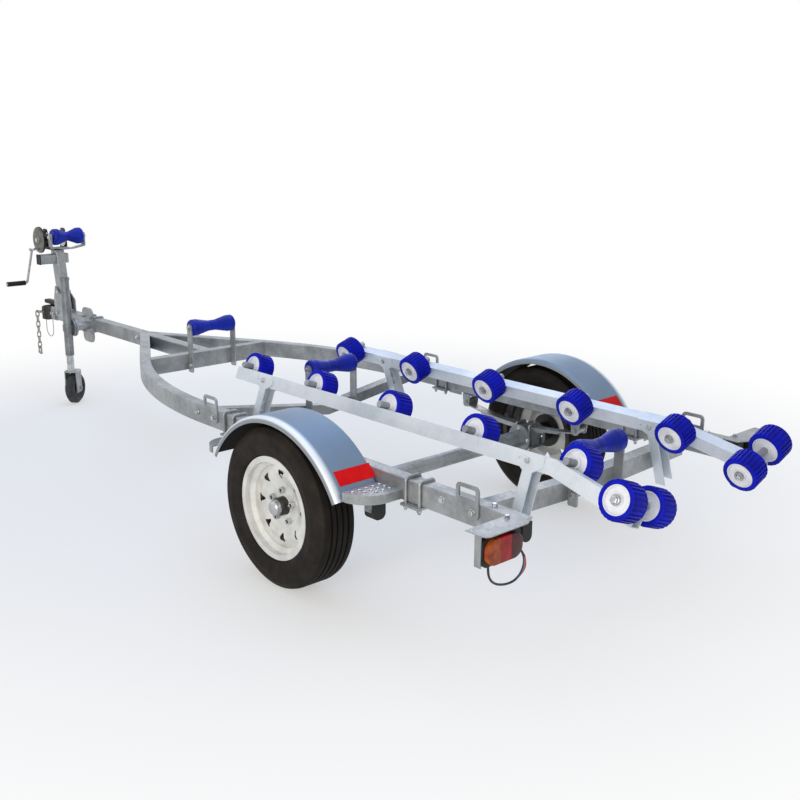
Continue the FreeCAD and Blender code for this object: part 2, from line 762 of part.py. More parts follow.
post_spots = (
    ("bunk_post_middle", "cross_mid_x", "(cross_mid_top + cross_mid_rise * 0.65 - cross_mid_high)"),
    ("bunk_post_rear", "-cross_rear_x", "(cross_rear_top + cross_rear_rise * 0.65 - cross_rear_high)"),
)
posts = [both_sides(name + "_both", bunk_post(name, x, bottom)) for name, x, bottom in post_spots]
keep(group("bunk_posts_group", posts), "bunk_posts")


# Wobble rollers: a tread on a hub dished at both faces, turning on a stub axle laid on the bunk's top
def roller_body(name, label, side, x, centres, up):
    body = new_body(name)
    sketch = new_sketch(body, name + "_section", "XY_Plane")
    for offset in centres:
        face = []
        for way in ("-", "+"):
            end = f"({offset} {way} roller_wide / 2)"
            back = "+" if way == "-" else "-"
            half = [
                ("pin_radius + run_gap", end),
                ("boss_radius", end),
                ("boss_radius + 2", f"{end} {back} dish_deep"),
                ("dish_radius - 3", f"{end} {back} dish_deep"),
                ("dish_radius", end),
                ("roller_radius - 4", end),
                ("roller_radius", f"{end} {back} 6"),
            ]
            face += half if way == "-" else half[::-1]
        add_outline(sketch, face)
    revolve(body, sketch)
    turn(body, Vector(1, 0, 0), f"{side} * deadrise")
    place(body, x, bunk_y(side, "0", up), bunk_z("0", up))
    return keep(body, label)


ROLLER_OUT = "(-bunk_wide - roller_gap - roller_wide / 2)"
PAIR_OUTS = ("(pair_outer_gap + roller_wide / 2)", "(-bunk_wide - pair_inner_gap - roller_wide / 2)")


# Height of a stub axle over the bunk's top line; behind the bend the bunk drops away under it
def stub_up(behind):
    level = "stub_radius + seat_gap"
    if behind == "0":
        return f"({level})"
    return f"(({level}) / cos(bunk_drop) - ({behind} - bunk_kink) * tan(bunk_drop))"


singles = [(f"roller_first - {index} * roller_pitch", stub_up("0")) for index in range(4)]
singles.append(("roller_first - 4 * roller_pitch", stub_up("4 * roller_pitch - roller_first")))
for side, word in ((1, "left"), (-1, "right")):
    for index, (station, up) in enumerate(singles, start=1):
        label = f"roller_{word}_{index}"
        roller_body(label + "_body", label, side, station, [f"{side} * {ROLLER_OUT}"], up)
    outs = [f"{side} * {out}" for out in PAIR_OUTS]
    roller_body(f"roller_pair_{word}_body", f"roller_pair_{word}", side, "-pair_x", outs, stub_up("pair_x"))


def stub_axle(name, x, up, outlines):
    body = new_body(name)
    revolve(body, outline(body, name + "_section", "XY_Plane", outlines))
    turn(body, Vector(1, 0, 0), "deadrise")
    place(body, x, bunk_y(1, "0", up), bunk_z("0", up))
    return body


CAP = "3"
single_end = "(-bunk_wide - roller_gap - roller_wide)"
single_axle = [
    ("0", "-2"),
    ("stub_radius", "-2"),
    ("stub_radius", "-bunk_wide - roller_gap + 1"),
    ("pin_radius", "-bunk_wide - roller_gap + 1"),
    ("pin_radius", f"{single_end} - 1"),
    ("washer_radius", f"{single_end} - 1"),
    ("washer_radius", f"{single_end} - 1 - {CAP}"),
    ("pin_radius + 3", f"{single_end} - 1 - {CAP}"),
    ("pin_radius + 3", f"{single_end} - 10"),
    ("0", f"{single_end} - 10"),
]
pair_far = "(pair_outer_gap + roller_wide)"
pair_near = "(-bunk_wide - pair_inner_gap - roller_wide)"
pair_axle = [
    ("0", f"{pair_far} + 10"),
    ("pin_radius + 3", f"{pair_far} + 10"),
    ("pin_radius + 3", f"{pair_far} + 1 + {CAP}"),
    ("washer_radius", f"{pair_far} + 1 + {CAP}"),
    ("washer_radius", f"{pair_far} + 1"),
    ("pin_radius", f"{pair_far} + 1"),
    ("pin_radius", "pair_outer_gap - 1"),
    ("stub_radius", "pair_outer_gap - 1"),
    ("stub_radius", "-bunk_wide - pair_inner_gap + 1"),
    ("pin_radius", "-bunk_wide - pair_inner_gap + 1"),
    ("pin_radius", f"{pair_near} - 1"),
    ("washer_radius", f"{pair_near} - 1"),
    ("washer_radius", f"{pair_near} - 1 - {CAP}"),
    ("pin_radius + 3", f"{pair_near} - 1 - {CAP}"),
    ("pin_radius + 3", f"{pair_near} - 10"),
    ("0", f"{pair_near} - 10"),
]
stubs = [
    stub_axle(f"roller_stub_{index}", station, up, single_axle)
    for index, (station, up) in enumerate(singles, start=1)
]
stubs.append(stub_axle("roller_pair_axle", "-pair_x", stub_up("pair_x"), pair_axle))
keep(both_sides("roller_axles_both", group("roller_axles_left", stubs)), "roller_axles")


# Keel rollers: waisted rollers across the centre line, each on a pin between two straps
def keel_roller(name, x, height):
    body = new_body(name + "_body")
    section = outline(
        body,
        name + "_section",
        "XY_Plane",
        [
            ("pin_radius + run_gap", "-keel_half"),
            ("keel_radius - 4", "-keel_half"),
            ("keel_radius", "-keel_half + 6"),
            ("keel_radius", "-keel_half + keel_end"),
            ("keel_waist", "-keel_half / 6"),
            ("keel_waist", "keel_half / 6"),
            ("keel_radius", "keel_half - keel_end"),
            ("keel_radius", "keel_half - 6"),
            ("keel_radius - 4", "keel_half"),
            ("pin_radius + run_gap", "keel_half"),
        ],
    )
    revolve(body, section)
    place(body, x, "0", height)
    return keep(body, name)


keel_spots = (
    ("front", "cross_front_x", "keel_front_top", "rail_top - rail_high"),
    ("middle", "cross_mid_x", "keel_mid_top", "cross_mid_top - cross_mid_high + 18"),
    ("rear", "-cross_rear_x", "keel_rear_top", "cross_rear_top - cross_rear_high"),
)
keel_brackets = []
for word, face, height, bottom in keel_spots:
    centre_x = f"{face} - strap_wide / 2 - seat_gap"
    keel_roller("keel_roller_" + word, centre_x, height)
    pin_end = "(keel_half + strap_thick + 10)"
    pieces = [
        cylinder(f"keel_pin_{word}", "pin_radius", f"2 * {pin_end}", (centre_x, f"-{pin_end}", height), "y")
    ]
    for hand, outer_face in (("left", "keel_half + 2 + strap_thick"), ("right", "-keel_half - 2")):
        corners = [
            (f"{face} - strap_wide - seat_gap", f"{bottom} - strap_below"),
            (f"{face} - seat_gap", f"{bottom} - strap_below"),
            (f"{face} - seat_gap", f"{height} + strap_over"),
            (f"{face} - strap_wide - seat_gap", f"{height} + strap_over"),
        ]
        rounds = {0: "6", 1: "6", 2: "strap_wide * 0.45", 3: "strap_wide * 0.45"}
        pieces.append(
            plate(f"keel_strap_{word}_{hand}", "XZ_Plane", corners, "strap_thick", ("0", outer_face, "0"), rounds)
        )
    keel_brackets.append(fuse(f"keel_bracket_{word}", pieces))
keep(group("keel_brackets_group", keel_brackets), "keel_brackets")

# Axle: one turned tube with a sleeve and two flanges beside each spring, a spindle at each end and square pads
# under the springs
SPRING_Y = "(rail_outer - rail_wide / 2)"
WHEEL_Y = "(rail_outer + wheel_gap + tyre_wide / 2)"
SPINDLE_END = f"({WHEEL_Y} + hub_flange * 0.37)"
BEAM_HALF = f"({SPINDLE_END} - spindle_long)"
INNER_FLANGE = f"({SPRING_Y} - clamp_wide / 2 - 1 - flange_thick)"
OUTER_FLANGE = f"({SPRING_Y} + clamp_wide / 2 + 1)"
axle_half = [
    ("axle_radius", f"{INNER_FLANGE} - sleeve_long"),
    ("sleeve_radius", f"{INNER_FLANGE} - sleeve_long"),
    ("sleeve_radius", INNER_FLANGE),
    ("flange_radius", INNER_FLANGE),
    ("flange_radius", f"{INNER_FLANGE} + flange_thick"),
    ("axle_radius", f"{INNER_FLANGE} + flange_thick"),
    ("axle_radius", OUTER_FLANGE),
    ("flange_radius", OUTER_FLANGE),
    ("flange_radius", f"{OUTER_FLANGE} + flange_thick"),
    ("axle_radius", f"{OUTER_FLANGE} + flange_thick"),
    ("axle_radius", BEAM_HALF),
    ("spindle_radius", BEAM_HALF),
    ("spindle_radius", SPINDLE_END),
    ("0", SPINDLE_END),
]
axle = new_body("axle_body")
other_half = [(radius, f"-({y})") for radius, y in reversed(axle_half)]
revolve(axle, outline(axle, "axle_section", "XY_Plane", other_half + axle_half))
place(axle, "0", "0", "tyre_radius")
pads = [
    block(
        f"axle_pad_{word}",
        ("clamp_long - 10", "spring_wide + 1", "2 * pad_high"),
        ("5 - clamp_long / 2", f"{sign}{SPRING_Y} - spring_wide / 2 - 0.5", "tyre_radius - pad_high"),
    )
    for word, sign in (("left", ""), ("right", "-"))
]
keep(fuse("axle_fuse", [axle] + pads), "axle_beam")

# Leaf springs: three leaves to a side, the longest rolled into an eye at each end
SPRING_SEAT = "(tyre_radius + pad_high)"
SPRING_BEND = "(spring_half^2 + spring_rise^2) / (2 * spring_rise)"


def leaf(name, reach, level):
    body = new_body(name)
    low = f"({SPRING_SEAT} + {level} * leaf_thick)"

    def height(thick):
        return f"{low} + {thick} + {SPRING_BEND} - sqrt(({SPRING_BEND})^2 - ({reach})^2)"

    view = outline(
        body,
        name + "_side_view",
        "XZ_Plane",
        [
            (f"-({reach})", height("0"), SPRING_BEND, -1),
            (reach, height("0")),
            (reach, height("leaf_thick"), SPRING_BEND, 1),
            (f"-({reach})", height("leaf_thick")),
        ],
    )
    pad(body, view, "spring_wide")
    place(body, "spring_shift", SPRING_Y)
    return body


leaves = [
    leaf("leaf_short", "spring_half * 0.45", 0),
    leaf("leaf_middle", "spring_half * 0.72", 1),
    leaf("leaf_main", "spring_half", 2),
]
EYE_Z = f"({SPRING_SEAT} + 2.5 * leaf_thick + spring_rise + eye_radius - leaf_thick / 2)"
eyes = []
holes = []
for word, sign in (("front", "+"), ("rear", "-")):
    eye_x = f"spring_shift {sign} spring_half"
    low_y = f"{SPRING_Y} - spring_wide / 2"
    eyes.append(cylinder(f"eye_{word}", "eye_radius", "spring_wide", (eye_x, low_y, EYE_Z), "y"))
    holes.append(
        cylinder(f"eye_hole_{word}", "eye_pin + run_gap", "spring_wide + 2", (eye_x, f"{low_y} - 1", EYE_Z), "y")
    )
spring = cut("leaf_spring", fuse("leaf_pack", leaves + eyes), fuse("eye_holes", holes))
keep(both_sides("leaf_springs_both", spring), "leaf_springs")

# Spring hangers: two cheeks with a web and a pin under the rail at each eye
RAIL_LOW = "(rail_top - rail_high)"
hangers = []
for word, sign in (("front", "+"), ("rear", "-")):
    middle_x = f"spring_shift {sign} spring_half"
    cheek_low = f"({EYE_Z} - eye_radius - 4)"
    corners = [
        (f"{middle_x} - cheek_wide / 2", RAIL_LOW),
        (f"{middle_x} - cheek_wide * 0.36", cheek_low),
        (f"{middle_x} + cheek_wide * 0.36", cheek_low),
        (f"{middle_x} + cheek_wide / 2", RAIL_LOW),
    ]
    cheeks = [
        plate(f"hanger_{word}_cheek_{index}", "XZ_Plane", corners, "cheek_thick", ("0", y, "0"), {1: "12", 2: "12"})
        for index, y in enumerate(
            (f"{SPRING_Y} + spring_wide / 2 + 1 + cheek_thick", f"{SPRING_Y} - spring_wide / 2 - 1")
        )
    ]
    pin = cylinder(
        f"hanger_{word}_pin", "eye_pin", "spring_wide + 24",
        (middle_x, f"{SPRING_Y} - spring_wide / 2 - 12", EYE_Z), "y",
    )
    web = block(
        f"hanger_{word}_web", ("cheek_wide", "spring_wide + 2 + 2 * cheek_thick", "cheek_thick"),
        (
            f"{middle_x} - cheek_wide / 2",
            f"{SPRING_Y} - spring_wide / 2 - 1 - cheek_thick",
            f"{RAIL_LOW} - cheek_thick",
        ),
    )
    hangers.append(fuse(f"hanger_{word}", cheeks + [pin, web]))
hanger_pairs = both_sides("spring_hangers_both", group("hangers_left", hangers))

# Axle clamps: a plate under each spring pad and two U-bolts over the spring
clamp_face = number("tyre_radius - pad_high - seat_gap")
clamp_over = number(f"{SPRING_SEAT} + 3 * leaf_thick + ubolt_radius + 3")
rod_out = number("spring_wide / 2 + ubolt_radius + 3")
rod_ahead = number("axle_radius + ubolt_radius + 2")
clamp_size = [number(text) for text in ("clamp_long", "clamp_wide", "clamp_thick")]
clamp_parts = []
for side in (1, -1):
    middle_y = side * number(SPRING_Y)
    corner = Vector(-clamp_size[0] / 2, middle_y - clamp_size[1] / 2, clamp_face - clamp_size[2])
    clamp = Part.makeBox(*clamp_size, corner)
    for x in (rod_ahead, -rod_ahead):
        legs = (middle_y - rod_out, middle_y + rod_out)
        clamp = clamp.fuse(u_bolt(x, legs, corner.z - clamp_size[2], clamp_over, number("ubolt_radius")))
    clamp_parts.append(clamp)
axle_clamps = made("axle_clamp_pair", Part.makeCompound(clamp_parts))
keep(group("spring_fittings_group", [hanger_pairs, axle_clamps]), "spring_fittings")


# Wheels. The sketches lie in the plane through the wheel's axis, radius across and width up.
def tyre(word, side):
    body = new_body(f"tyre_{word}_body")
    half = "tyre_wide / 2"
    tread = f"({half} * 0.75)"
    wall = "(tyre_radius - rim_radius)"
    corners = [
        ("seat_radius + seat_gap", "-rim_half + rim_wall + seat_gap"),
        ("rim_radius + 1", "-rim_half + rim_wall + seat_gap"),
        (f"rim_radius + {wall} * 0.08", f"-{half} * 0.9"),
        (f"rim_radius + {wall} * 0.44", f"-{half}"),
        (f"tyre_radius - {wall} * 0.24", f"-{half} * 0.95"),
        (f"tyre_radius - {wall} * 0.03", f"-{tread}"),
        ("tyre_radius", f"-{tread} * 0.8"),
        ("tyre_radius", f"{tread} * 0.8"),
        (f"tyre_radius - {wall} * 0.03", tread),
        (f"tyre_radius - {wall} * 0.24", f"{half} * 0.95"),
        (f"rim_radius + {wall} * 0.44", half),
        (f"rim_radius + {wall} * 0.08", f"{half} * 0.9"),
        ("rim_radius + 1", "rim_half - rim_wall - seat_gap"),
        ("seat_radius + seat_gap", "rim_half - rim_wall - seat_gap"),
    ]
    bead = f"{wall} * 0.08"
    bulge = f"{wall} * 0.23"
    shoulder = f"{wall} * 0.13"
    rounds = {2: bead, 3: bulge, 4: shoulder, 9: shoulder, 10: bulge, 11: bead}
    revolve(body, outline(body, f"tyre_{word}_section", "XY_Plane", corners, rounds))
    grooves = new_sketch(body, f"tyre_{word}_grooves", "XY_Plane")
    for middle in ("-34", "-12", "12", "34"):
        add_outline(
            grooves,
            [
                ("tyre_radius + 2", f"{middle} - 4"),
                ("tyre_radius + 2", f"{middle} + 4"),
                ("tyre_radius - tyre_groove", f"{middle} + 3"),
                ("tyre_radius - tyre_groove", f"{middle} - 3"),
            ],
        )
    groove = body.newObject("PartDesign::Groove", f"tyre_{word}_groove_turn")
    groove.Profile = grooves
    groove.ReferenceAxis = (grooves, ["V_Axis"])
    groove.Angle = 360
    place(body, "0", f"{side} * {WHEEL_Y}", "tyre_radius")
    return keep(body, f"tyre_{word}")


def rim(word, side):
    body = new_body(f"rim_{word}_body")
    wall = "rim_wall"
    section = outline(
        body,
        f"rim_{word}_section",
        "XY_Plane",
        [
            ("rim_radius", "rim_half"),
            ("rim_radius", f"rim_half - {wall}"),
            ("seat_radius", f"rim_half - {wall}"),
            ("seat_radius", "rim_half - 22"),
            ("well_radius", "rim_half - 33"),
            ("well_radius", "-rim_half + 50"),
            ("seat_radius", "-rim_half + 40"),
            ("seat_radius", f"-rim_half + {wall}"),
            ("rim_radius", f"-rim_half + {wall}"),
            ("rim_radius", "-rim_half"),
            (f"seat_radius - {wall}", "-rim_half"),
            (f"seat_radius - {wall}", "-rim_half + 38"),
            (f"well_radius - {wall}", "-rim_half + 48"),
            (f"well_radius - {wall}", "16"),
            ("112", "24"),
            ("78", "12"),
            ("hub_radius + 1", "12"),
            ("hub_radius + 1", "17"),
            ("80", "17"),
            ("114", "29"),
            (f"well_radius - {wall}", "21"),
            (f"well_radius - {wall}", "rim_half - 31"),
            (f"seat_radius - {wall}", "rim_half - 20"),
            (f"seat_radius - {wall}", "rim_half"),
        ],
    )
    revolve(body, section)
    vent = outline(
        body,
        f"rim_{word}_vent",
        "XZ_Plane",
        [("-19", "128"), ("19", "128"), ("0", "94")],
        {0: "5", 1: "5", 2: "5"},
    )
    hole = pocket(body, vent, "2 * rim_half")
    polar(body, hole, vent, "N_Axis", "vent_count")
    stud_hole = new_sketch(body, f"rim_{word}_stud_hole", "XZ_Plane")
    add_circle(stud_hole, "0", "stud_circle", "7")
    polar(body, pocket(body, stud_hole, "2 * rim_half"), stud_hole, "N_Axis", "5")
    if side < 0:
        turn(body, Vector(0, 0, 1), "180")
    place(body, "0", f"{side} * {WHEEL_Y}", "tyre_radius")
    return keep(body, f"rim_{word}")


for word, side in (("left", 1), ("right", -1)):
    tyre(word, side)
    rim(word, side)

# Hubs: the flange carries the wheel, and five nuts stand out through the disc
def hub_shape():
    outward = Vector(0, 1, 0)
    nose = number("hub_radius")
    barrel = number("barrel_radius")
    behind = number("barrel_long")
    profile = [
        (0, -behind), (barrel, -behind), (barrel, 4), (number("hub_flange"), 4), (number("hub_flange"), 12),
        (nose, 12), (nose, 40), (nose - 4, 47), (nose - 12, 52), (0, 54),
    ]
    wire = Part.makePolygon([Vector(radius, y, 0) for radius, y in profile + profile[:1]])
    solid = Part.Face(wire).revolve(Vector(), outward, 360)
    bore = Part.makeCylinder(number("spindle_radius + run_gap"), behind + 31, Vector(0, -behind - 1, 0), outward)
    solid = solid.cut(bore)
    for index in range(5):
        angle = math.radians(72 * index + 90)
        spot = Vector(math.cos(angle), 0, math.sin(angle)) * number("stud_circle")
        nut = Part.makeCylinder(number("nut_radius"), 13, spot + Vector(0, 17.3, 0), outward)
        stud = Part.makeCylinder(number("stud_radius"), 28, spot + Vector(0, 8, 0), outward)
        solid = solid.fuse([nut, stud])
    return solid.removeSplitter()


for word, side in (("left", 1), ("right", -1)):
    shape = hub_shape()
    if side < 0:
        shape = shape.rotated(Vector(), Vector(0, 0, 1), 180)
    shape = shape.translated(Vector(0, side * number(WHEEL_Y), number("tyre_radius")))
    keep(made(f"hub_{word}_turned", shape), f"hub_{word}")

# Mudguard: an arched shell with both edges folded down round its crown
guard = new_body("mudguard_left_body")
CROWN = "(tyre_radius + guard_gap)"
guard_section = outline(
    guard,
    "guard_section",
    "YZ_Plane",
    [
        ("-guard_half + guard_sheet", f"{CROWN} - guard_lip"),
        ("-guard_half", f"{CROWN} - guard_lip"),
        ("-guard_half", CROWN),
        ("guard_half", CROWN),
        ("guard_half", f"{CROWN} - guard_lip"),
        ("guard_half - guard_sheet", f"{CROWN} - guard_lip"),
        ("guard_half - guard_sheet", f"{CROWN} - guard_sheet"),
        ("-guard_half + guard_sheet", f"{CROWN} - guard_sheet"),
    ],
    {2: "guard_round", 3: "guard_round", 6: "guard_round - guard_sheet", 7: "guard_round - guard_sheet"},
)
revolve(guard, guard_section, "H_Axis", "guard_turn", both_ways=True)
GUARD_Y = "(rail_outer + seat_gap + guard_half)"
place(guard, "-guard_back", GUARD_Y, "tyre_radius - guard_low")
keep(both_sides("mudguards_both", guard), "mudguards")


# A tread plate folded down on three sides, its outer corner cut to a wide curve. It starts at x beside the
# mudguard's end and reaches back or ahead, as way says.
def folded_plate(name, x, way, long, out, top, lip):
    body = new_body(name)
    wall = "step_sheet"

    def corners(inset, past):
        start = f"{x} - {way} * {past}"
        end = f"{x} + {way} * ({long} - {inset})"
        return [
            (start, inset),
            (start, f"{out} - {inset}"),
            (f"{x} + {way} * {long} * 0.15", f"{out} - {inset}", f"{out} * 0.65 - {inset}", way),
            (end, f"{out} * 0.3"),
            (end, inset),
        ]

    pad(body, outline(body, name + "_outline", "XY_Plane", corners("0", "0")), lip, both_ways=False)
    pocket(body, outline(body, name + "_hollow", "XY_Plane", corners(wall, wall)), f"2 * ({lip} - {wall})")
    place(body, "0", "rail_outer + seat_gap", f"{top} - {lip}")
    return body


# Clamp bands: a plate under the rail and two U-bolts over it, ahead of and behind the mudguard
def rail_band(x):
    rod = number("ubolt_radius")
    deck_size = ("band_pitch + 4 * ubolt_radius", "rail_wide + 8 * ubolt_radius", "clamp_thick")
    deck = [number(text) for text in deck_size]
    rail_middle = number(SPRING_Y)
    low = number(RAIL_LOW) - number("seat_gap") - deck[2]
    band = Part.makeBox(*deck, Vector(x - deck[0] / 2, rail_middle - deck[1] / 2, low))
    reach = number("rail_wide / 2 + ubolt_radius + 1")
    for ahead in (number("band_pitch / 2"), -number("band_pitch / 2")):
        legs = (rail_middle - reach, rail_middle + reach)
        band = band.fuse(u_bolt(x + ahead, legs, low - 3 * rod, number("rail_top") + rod + 1, rod))
    return band


bands = made(
    "rail_bands_left",
    Part.makeCompound([rail_band(number("band_front")), rail_band(-number("band_rear"))]),
)
guard_mounts = [
    folded_plate("step_plate_left", "-step_front", -1, "step_long", "step_out", "step_top", "step_lip"),
    folded_plate("front_tab_left", "tab_front - tab_long", 1, "tab_long", "tab_out", "tab_top", "tab_lip"),
    bands,
]
keep(both_sides("guard_brackets_both", group("guard_mounts_left", guard_mounts)), "guard_brackets")

# Tail lamps: a folded bracket behind each rail with a lamp case and its lens, and a small lamp on the rail's end
BRACKET_X = "(-rail_end - lamp_deep)"
BACK_X = f"({BRACKET_X} + lamp_thick + lens_thick + 3 * seat_gap)"
CASE_OUT = "(lamp_out - lamp_sheet - seat_gap)"
CASE_TOP = "(rail_top - lamp_sheet - lamp_drop)"
lamp_deck = plate(
    "lamp_deck",
    "XY_Plane",
    [
        ("-rail_end - seat_gap", "lamp_in"),
        ("-rail_end - seat_gap", "lamp_out"),
        (BRACKET_X, "lamp_out"),
        (BRACKET_X, "lamp_in + 48"),
        (f"{BRACKET_X} + 24", "lamp_in"),
    ],
    "lamp_sheet",
    ("0", "0", "rail_top - lamp_sheet"),
    {2: "20"},
)
lamp_side = plate(
    "lamp_side",
    "XZ_Plane",
    [
        (f"{BRACKET_X} + 20", f"{CASE_TOP} - lamp_high"),
        (f"{BACK_X} + lamp_sheet", f"{CASE_TOP} - lamp_high"),
        (f"{BACK_X} + lamp_sheet", "rail_top"),
        (f"{BRACKET_X} + 20", "rail_top"),
    ],
    "lamp_sheet",
    ("0", "lamp_out", "0"),
)
lamp_back = plate(
    "lamp_back",
    "YZ_Plane",
    [
        (f"{CASE_OUT} - lamp_wide", f"{CASE_TOP} - lamp_high"),
        ("lamp_out", f"{CASE_TOP} - lamp_high"),
        ("lamp_out", "rail_top"),
        (f"{CASE_OUT} - lamp_wide", "rail_top"),
    ],
    "lamp_sheet",
    (BACK_X, "0", "0"),
)
lamp_flange = plate(
    "lamp_flange",
    "YZ_Plane",
    [("lamp_in", RAIL_LOW), ("rail_outer", RAIL_LOW), ("rail_outer", "rail_top"), ("lamp_in", "rail_top")],
    "lamp_sheet",
    ("-rail_end - seat_gap - lamp_sheet", "0", "0"),
)
lamp_bracket = fuse("lamp_bracket_left", [lamp_deck, lamp_side, lamp_back, lamp_flange])
keep(both_sides("lamp_brackets_both", lamp_bracket), "lamp_brackets")


def lamp_face(inset):
    return [
        (f"{CASE_OUT} - lamp_wide + {inset}", f"{CASE_TOP} - lamp_high + {inset}"),
        (f"{CASE_OUT} - {inset}", f"{CASE_TOP} - lamp_high + {inset}"),
        (f"{CASE_OUT} - {inset}", f"{CASE_TOP} - {inset}"),
        (f"{CASE_OUT} - lamp_wide + {inset}", f"{CASE_TOP} - {inset}"),
    ]


case_x = f"({BACK_X} - seat_gap - lamp_thick)"
lamp_case = plate(
    "lamp_case_left", "YZ_Plane", lamp_face("0"), "lamp_thick", (case_x, "0", "0"), {i: "16" for i in range(4)}
)
small_half = "(rail_wide * 0.4)"
plate_lamp = plate(
    "plate_lamp_left",
    "YZ_Plane",
    [
        (f"plate_lamp_y - {small_half}", f"{RAIL_LOW} + 5"),
        (f"plate_lamp_y + {small_half}", f"{RAIL_LOW} + 5"),
        (f"plate_lamp_y + {small_half}", "rail_top - 10"),
        (f"plate_lamp_y - {small_half}", "rail_top - 10"),
    ],
    "54",
    ("-rail_end - 2 * seat_gap - lamp_sheet - 54", "0", "0"),
    {0: "18", 1: "18", 2: "5", 3: "5"},
)
marker_case = plate(
    "marker_case_left",
    "YZ_Plane",
    [
        ("marker_out - 25", "step_top - step_sheet - seat_gap - 88"),
        ("marker_out + 25", "step_top - step_sheet - seat_gap - 88"),
        ("marker_out + 25", "step_top - step_sheet - seat_gap"),
        ("marker_out - 25", "step_top - step_sheet - seat_gap"),
    ],
    "44",
    ("-marker_x", "0", "0"),
    {0: "20", 1: "20"},
)
lamp_cases = group("lamp_cases_left", [lamp_case, plate_lamp, marker_case])
keep(both_sides("lamp_cases_both", lamp_cases), "lamp_cases")
lens = plate(
    "lamp_lens_left", "YZ_Plane", lamp_face("lens_edge"), "lens_thick",
    (f"{case_x} - seat_gap - lens_thick", "0", "0"), {i: "30" for i in range(4)},
)
keep(both_sides("lamp_lenses_both", lens), "lamp_lenses")

# Lamp cables: each hangs in a slack loop from its lamp case to the small lamp on the rail's end.
# Points are behind the axle, from the centre line and above the ground.
CABLE_POINTS = [
    (-972, 726, 386.7), (-972, 726, 363), (-970, 713, 338), (-967, 689, 319), (-964, 659, 307), (-961, 627, 300),
    (-958, 595, 300), (-954, 567, 311), (-950, 549, 334), (-947, 549, 362), (-945, 567, 385), (-945, 567, 411.7),
]


def cable(name, label, side):
    points = [Vector(x, side * y, z) for x, y, z in CABLE_POINTS]
    radius = number("cable_radius")
    edges = []
    start = points[0]
    radii = []
    for before, corner, after in zip(points, points[1:], points[2:]):
        into = (corner - before).normalize()
        away = (after - corner).normalize()
        half_turn = into.getAngle(away) / 2
        shorter = min((corner - before).Length, (after - corner).Length)
        reach = 0.45 * shorter
        bend = reach / math.tan(half_turn)
        radii.append(round(bend))
        inward = (away - into).normalize()
        depth = bend / math.cos(half_turn) - bend
        edges.append(Part.LineSegment(start, corner - into * reach).toShape())
        edges.append(Part.Arc(corner - into * reach, corner + inward * depth, corner + away * reach).toShape())
        start = corner + away * reach
    edges.append(Part.LineSegment(start, points[-1]).toShape())
    path = Part.Wire(edges)
    ring = Part.Wire([Part.makeCircle(radius, points[0], points[1] - points[0])])
    tube = path.makePipeShell([ring], True, False)
    share = tube.Volume / (math.pi * radius * radius * path.Length)
    print(label, "bend radii", radii, "length", round(path.Length))
    print(label, "volume against section times length", round(share, 4))
    return keep(made(name, tube), label)


cable("lamp_cable_left_tube", "lamp_cable_left", 1)
cable("lamp_cable_right_tube", "lamp_cable_right", -1)

# Tie-down loops: flat bars bent over and welded to the tops of the rails
loops = []
for word, x in (("front", "loop_front_x"), ("rear", "-loop_rear_x")):
    foot = "(loop_long / 2)"
    top = "(loop_long / 2 - 4)"
    corners = [
        (f"{x} - {foot}", "rail_top"),
        (f"{x} - {foot} + loop_bar", "rail_top"),
        (f"{x} - {top} + loop_bar", "rail_top + loop_high - loop_bar"),
        (f"{x} + {top} - loop_bar", "rail_top + loop_high - loop_bar"),
        (f"{x} + {foot} - loop_bar", "rail_top"),
        (f"{x} + {foot}", "rail_top"),
        (f"{x} + {top}", "rail_top + loop_high"),
        (f"{x} - {top}", "rail_top + loop_high"),
    ]
    rounds = {2: "8", 3: "8", 6: "16", 7: "16"}
    loops.append(
        plate(f"tie_{word}_loop", "XZ_Plane", corners, "loop_bar", ("0", "rail_outer - loop_bar", "0"), rounds)
    )
keep(both_sides("tie_loops_both", group("tie_loops_left", loops)), "tie_down_loops")

# Coupling: a folded sleeve over the drawbar's nose and a cast head ahead of it, its ball socket open downwards
COUPLE_LOW = "(rail_top - bar_high - 14)"
HEAD_X = "(bar_front + 10)"
sleeve = new_body("coupling_sleeve_body")
sleeve_section = new_sketch(sleeve, "sleeve_section", "YZ_Plane")
for spread in ("(seat_gap + sleeve_wall)", "seat_gap"):
    half = f"(bar_wide / 2 + {spread})"
    tall = f"(bar_high / 2 + {spread})"
    corners = [(f"-{half}", f"-{tall}"), (half, f"-{tall}"), (half, tall), (f"-{half}", tall)]
    add_outline(sleeve_section, corners, {index: f"tube_round + {spread}" for index in range(4)})
pad(sleeve, sleeve_section, f"{HEAD_X} - sleeve_start", both_ways=False)
place(sleeve, "sleeve_start", "0", "rail_top - bar_high / 2")
keep(sleeve, "coupling_sleeve")

head = new_body("coupling_head_body")
NECK = "(bar_wide / 2 + sleeve_wall)"
head_plan = outline(
    head,
    "head_plan",
    "XY_Plane",
    [
        (f"{HEAD_X} + seat_gap", f"-{NECK}"),
        ("socket_x - 52", f"-{NECK}"),
        ("socket_x - 22", "-head_wide / 2"),
        ("nose_front", "-head_wide / 2"),
        ("nose_front", "head_wide / 2"),
        ("socket_x - 22", "head_wide / 2"),
        ("socket_x - 52", NECK),
        (f"{HEAD_X} + seat_gap", NECK),
    ],
    {3: "head_wide * 0.45", 4: "head_wide * 0.45"},
)
pad(head, head_plan, "bar_high + 18", both_ways=False)
head_slope = outline(
    head,
    "head_slope",
    "XZ_Plane",
    [
        ("socket_x - 30", "bar_high + 19"),
        ("socket_x - 30", "bar_high + 18"),
        ("nose_front + 1", "bar_high - 8"),
        ("nose_front + 1", "bar_high + 19"),
    ],
)
sloped = pocket(head, head_slope, "2 * head_wide")
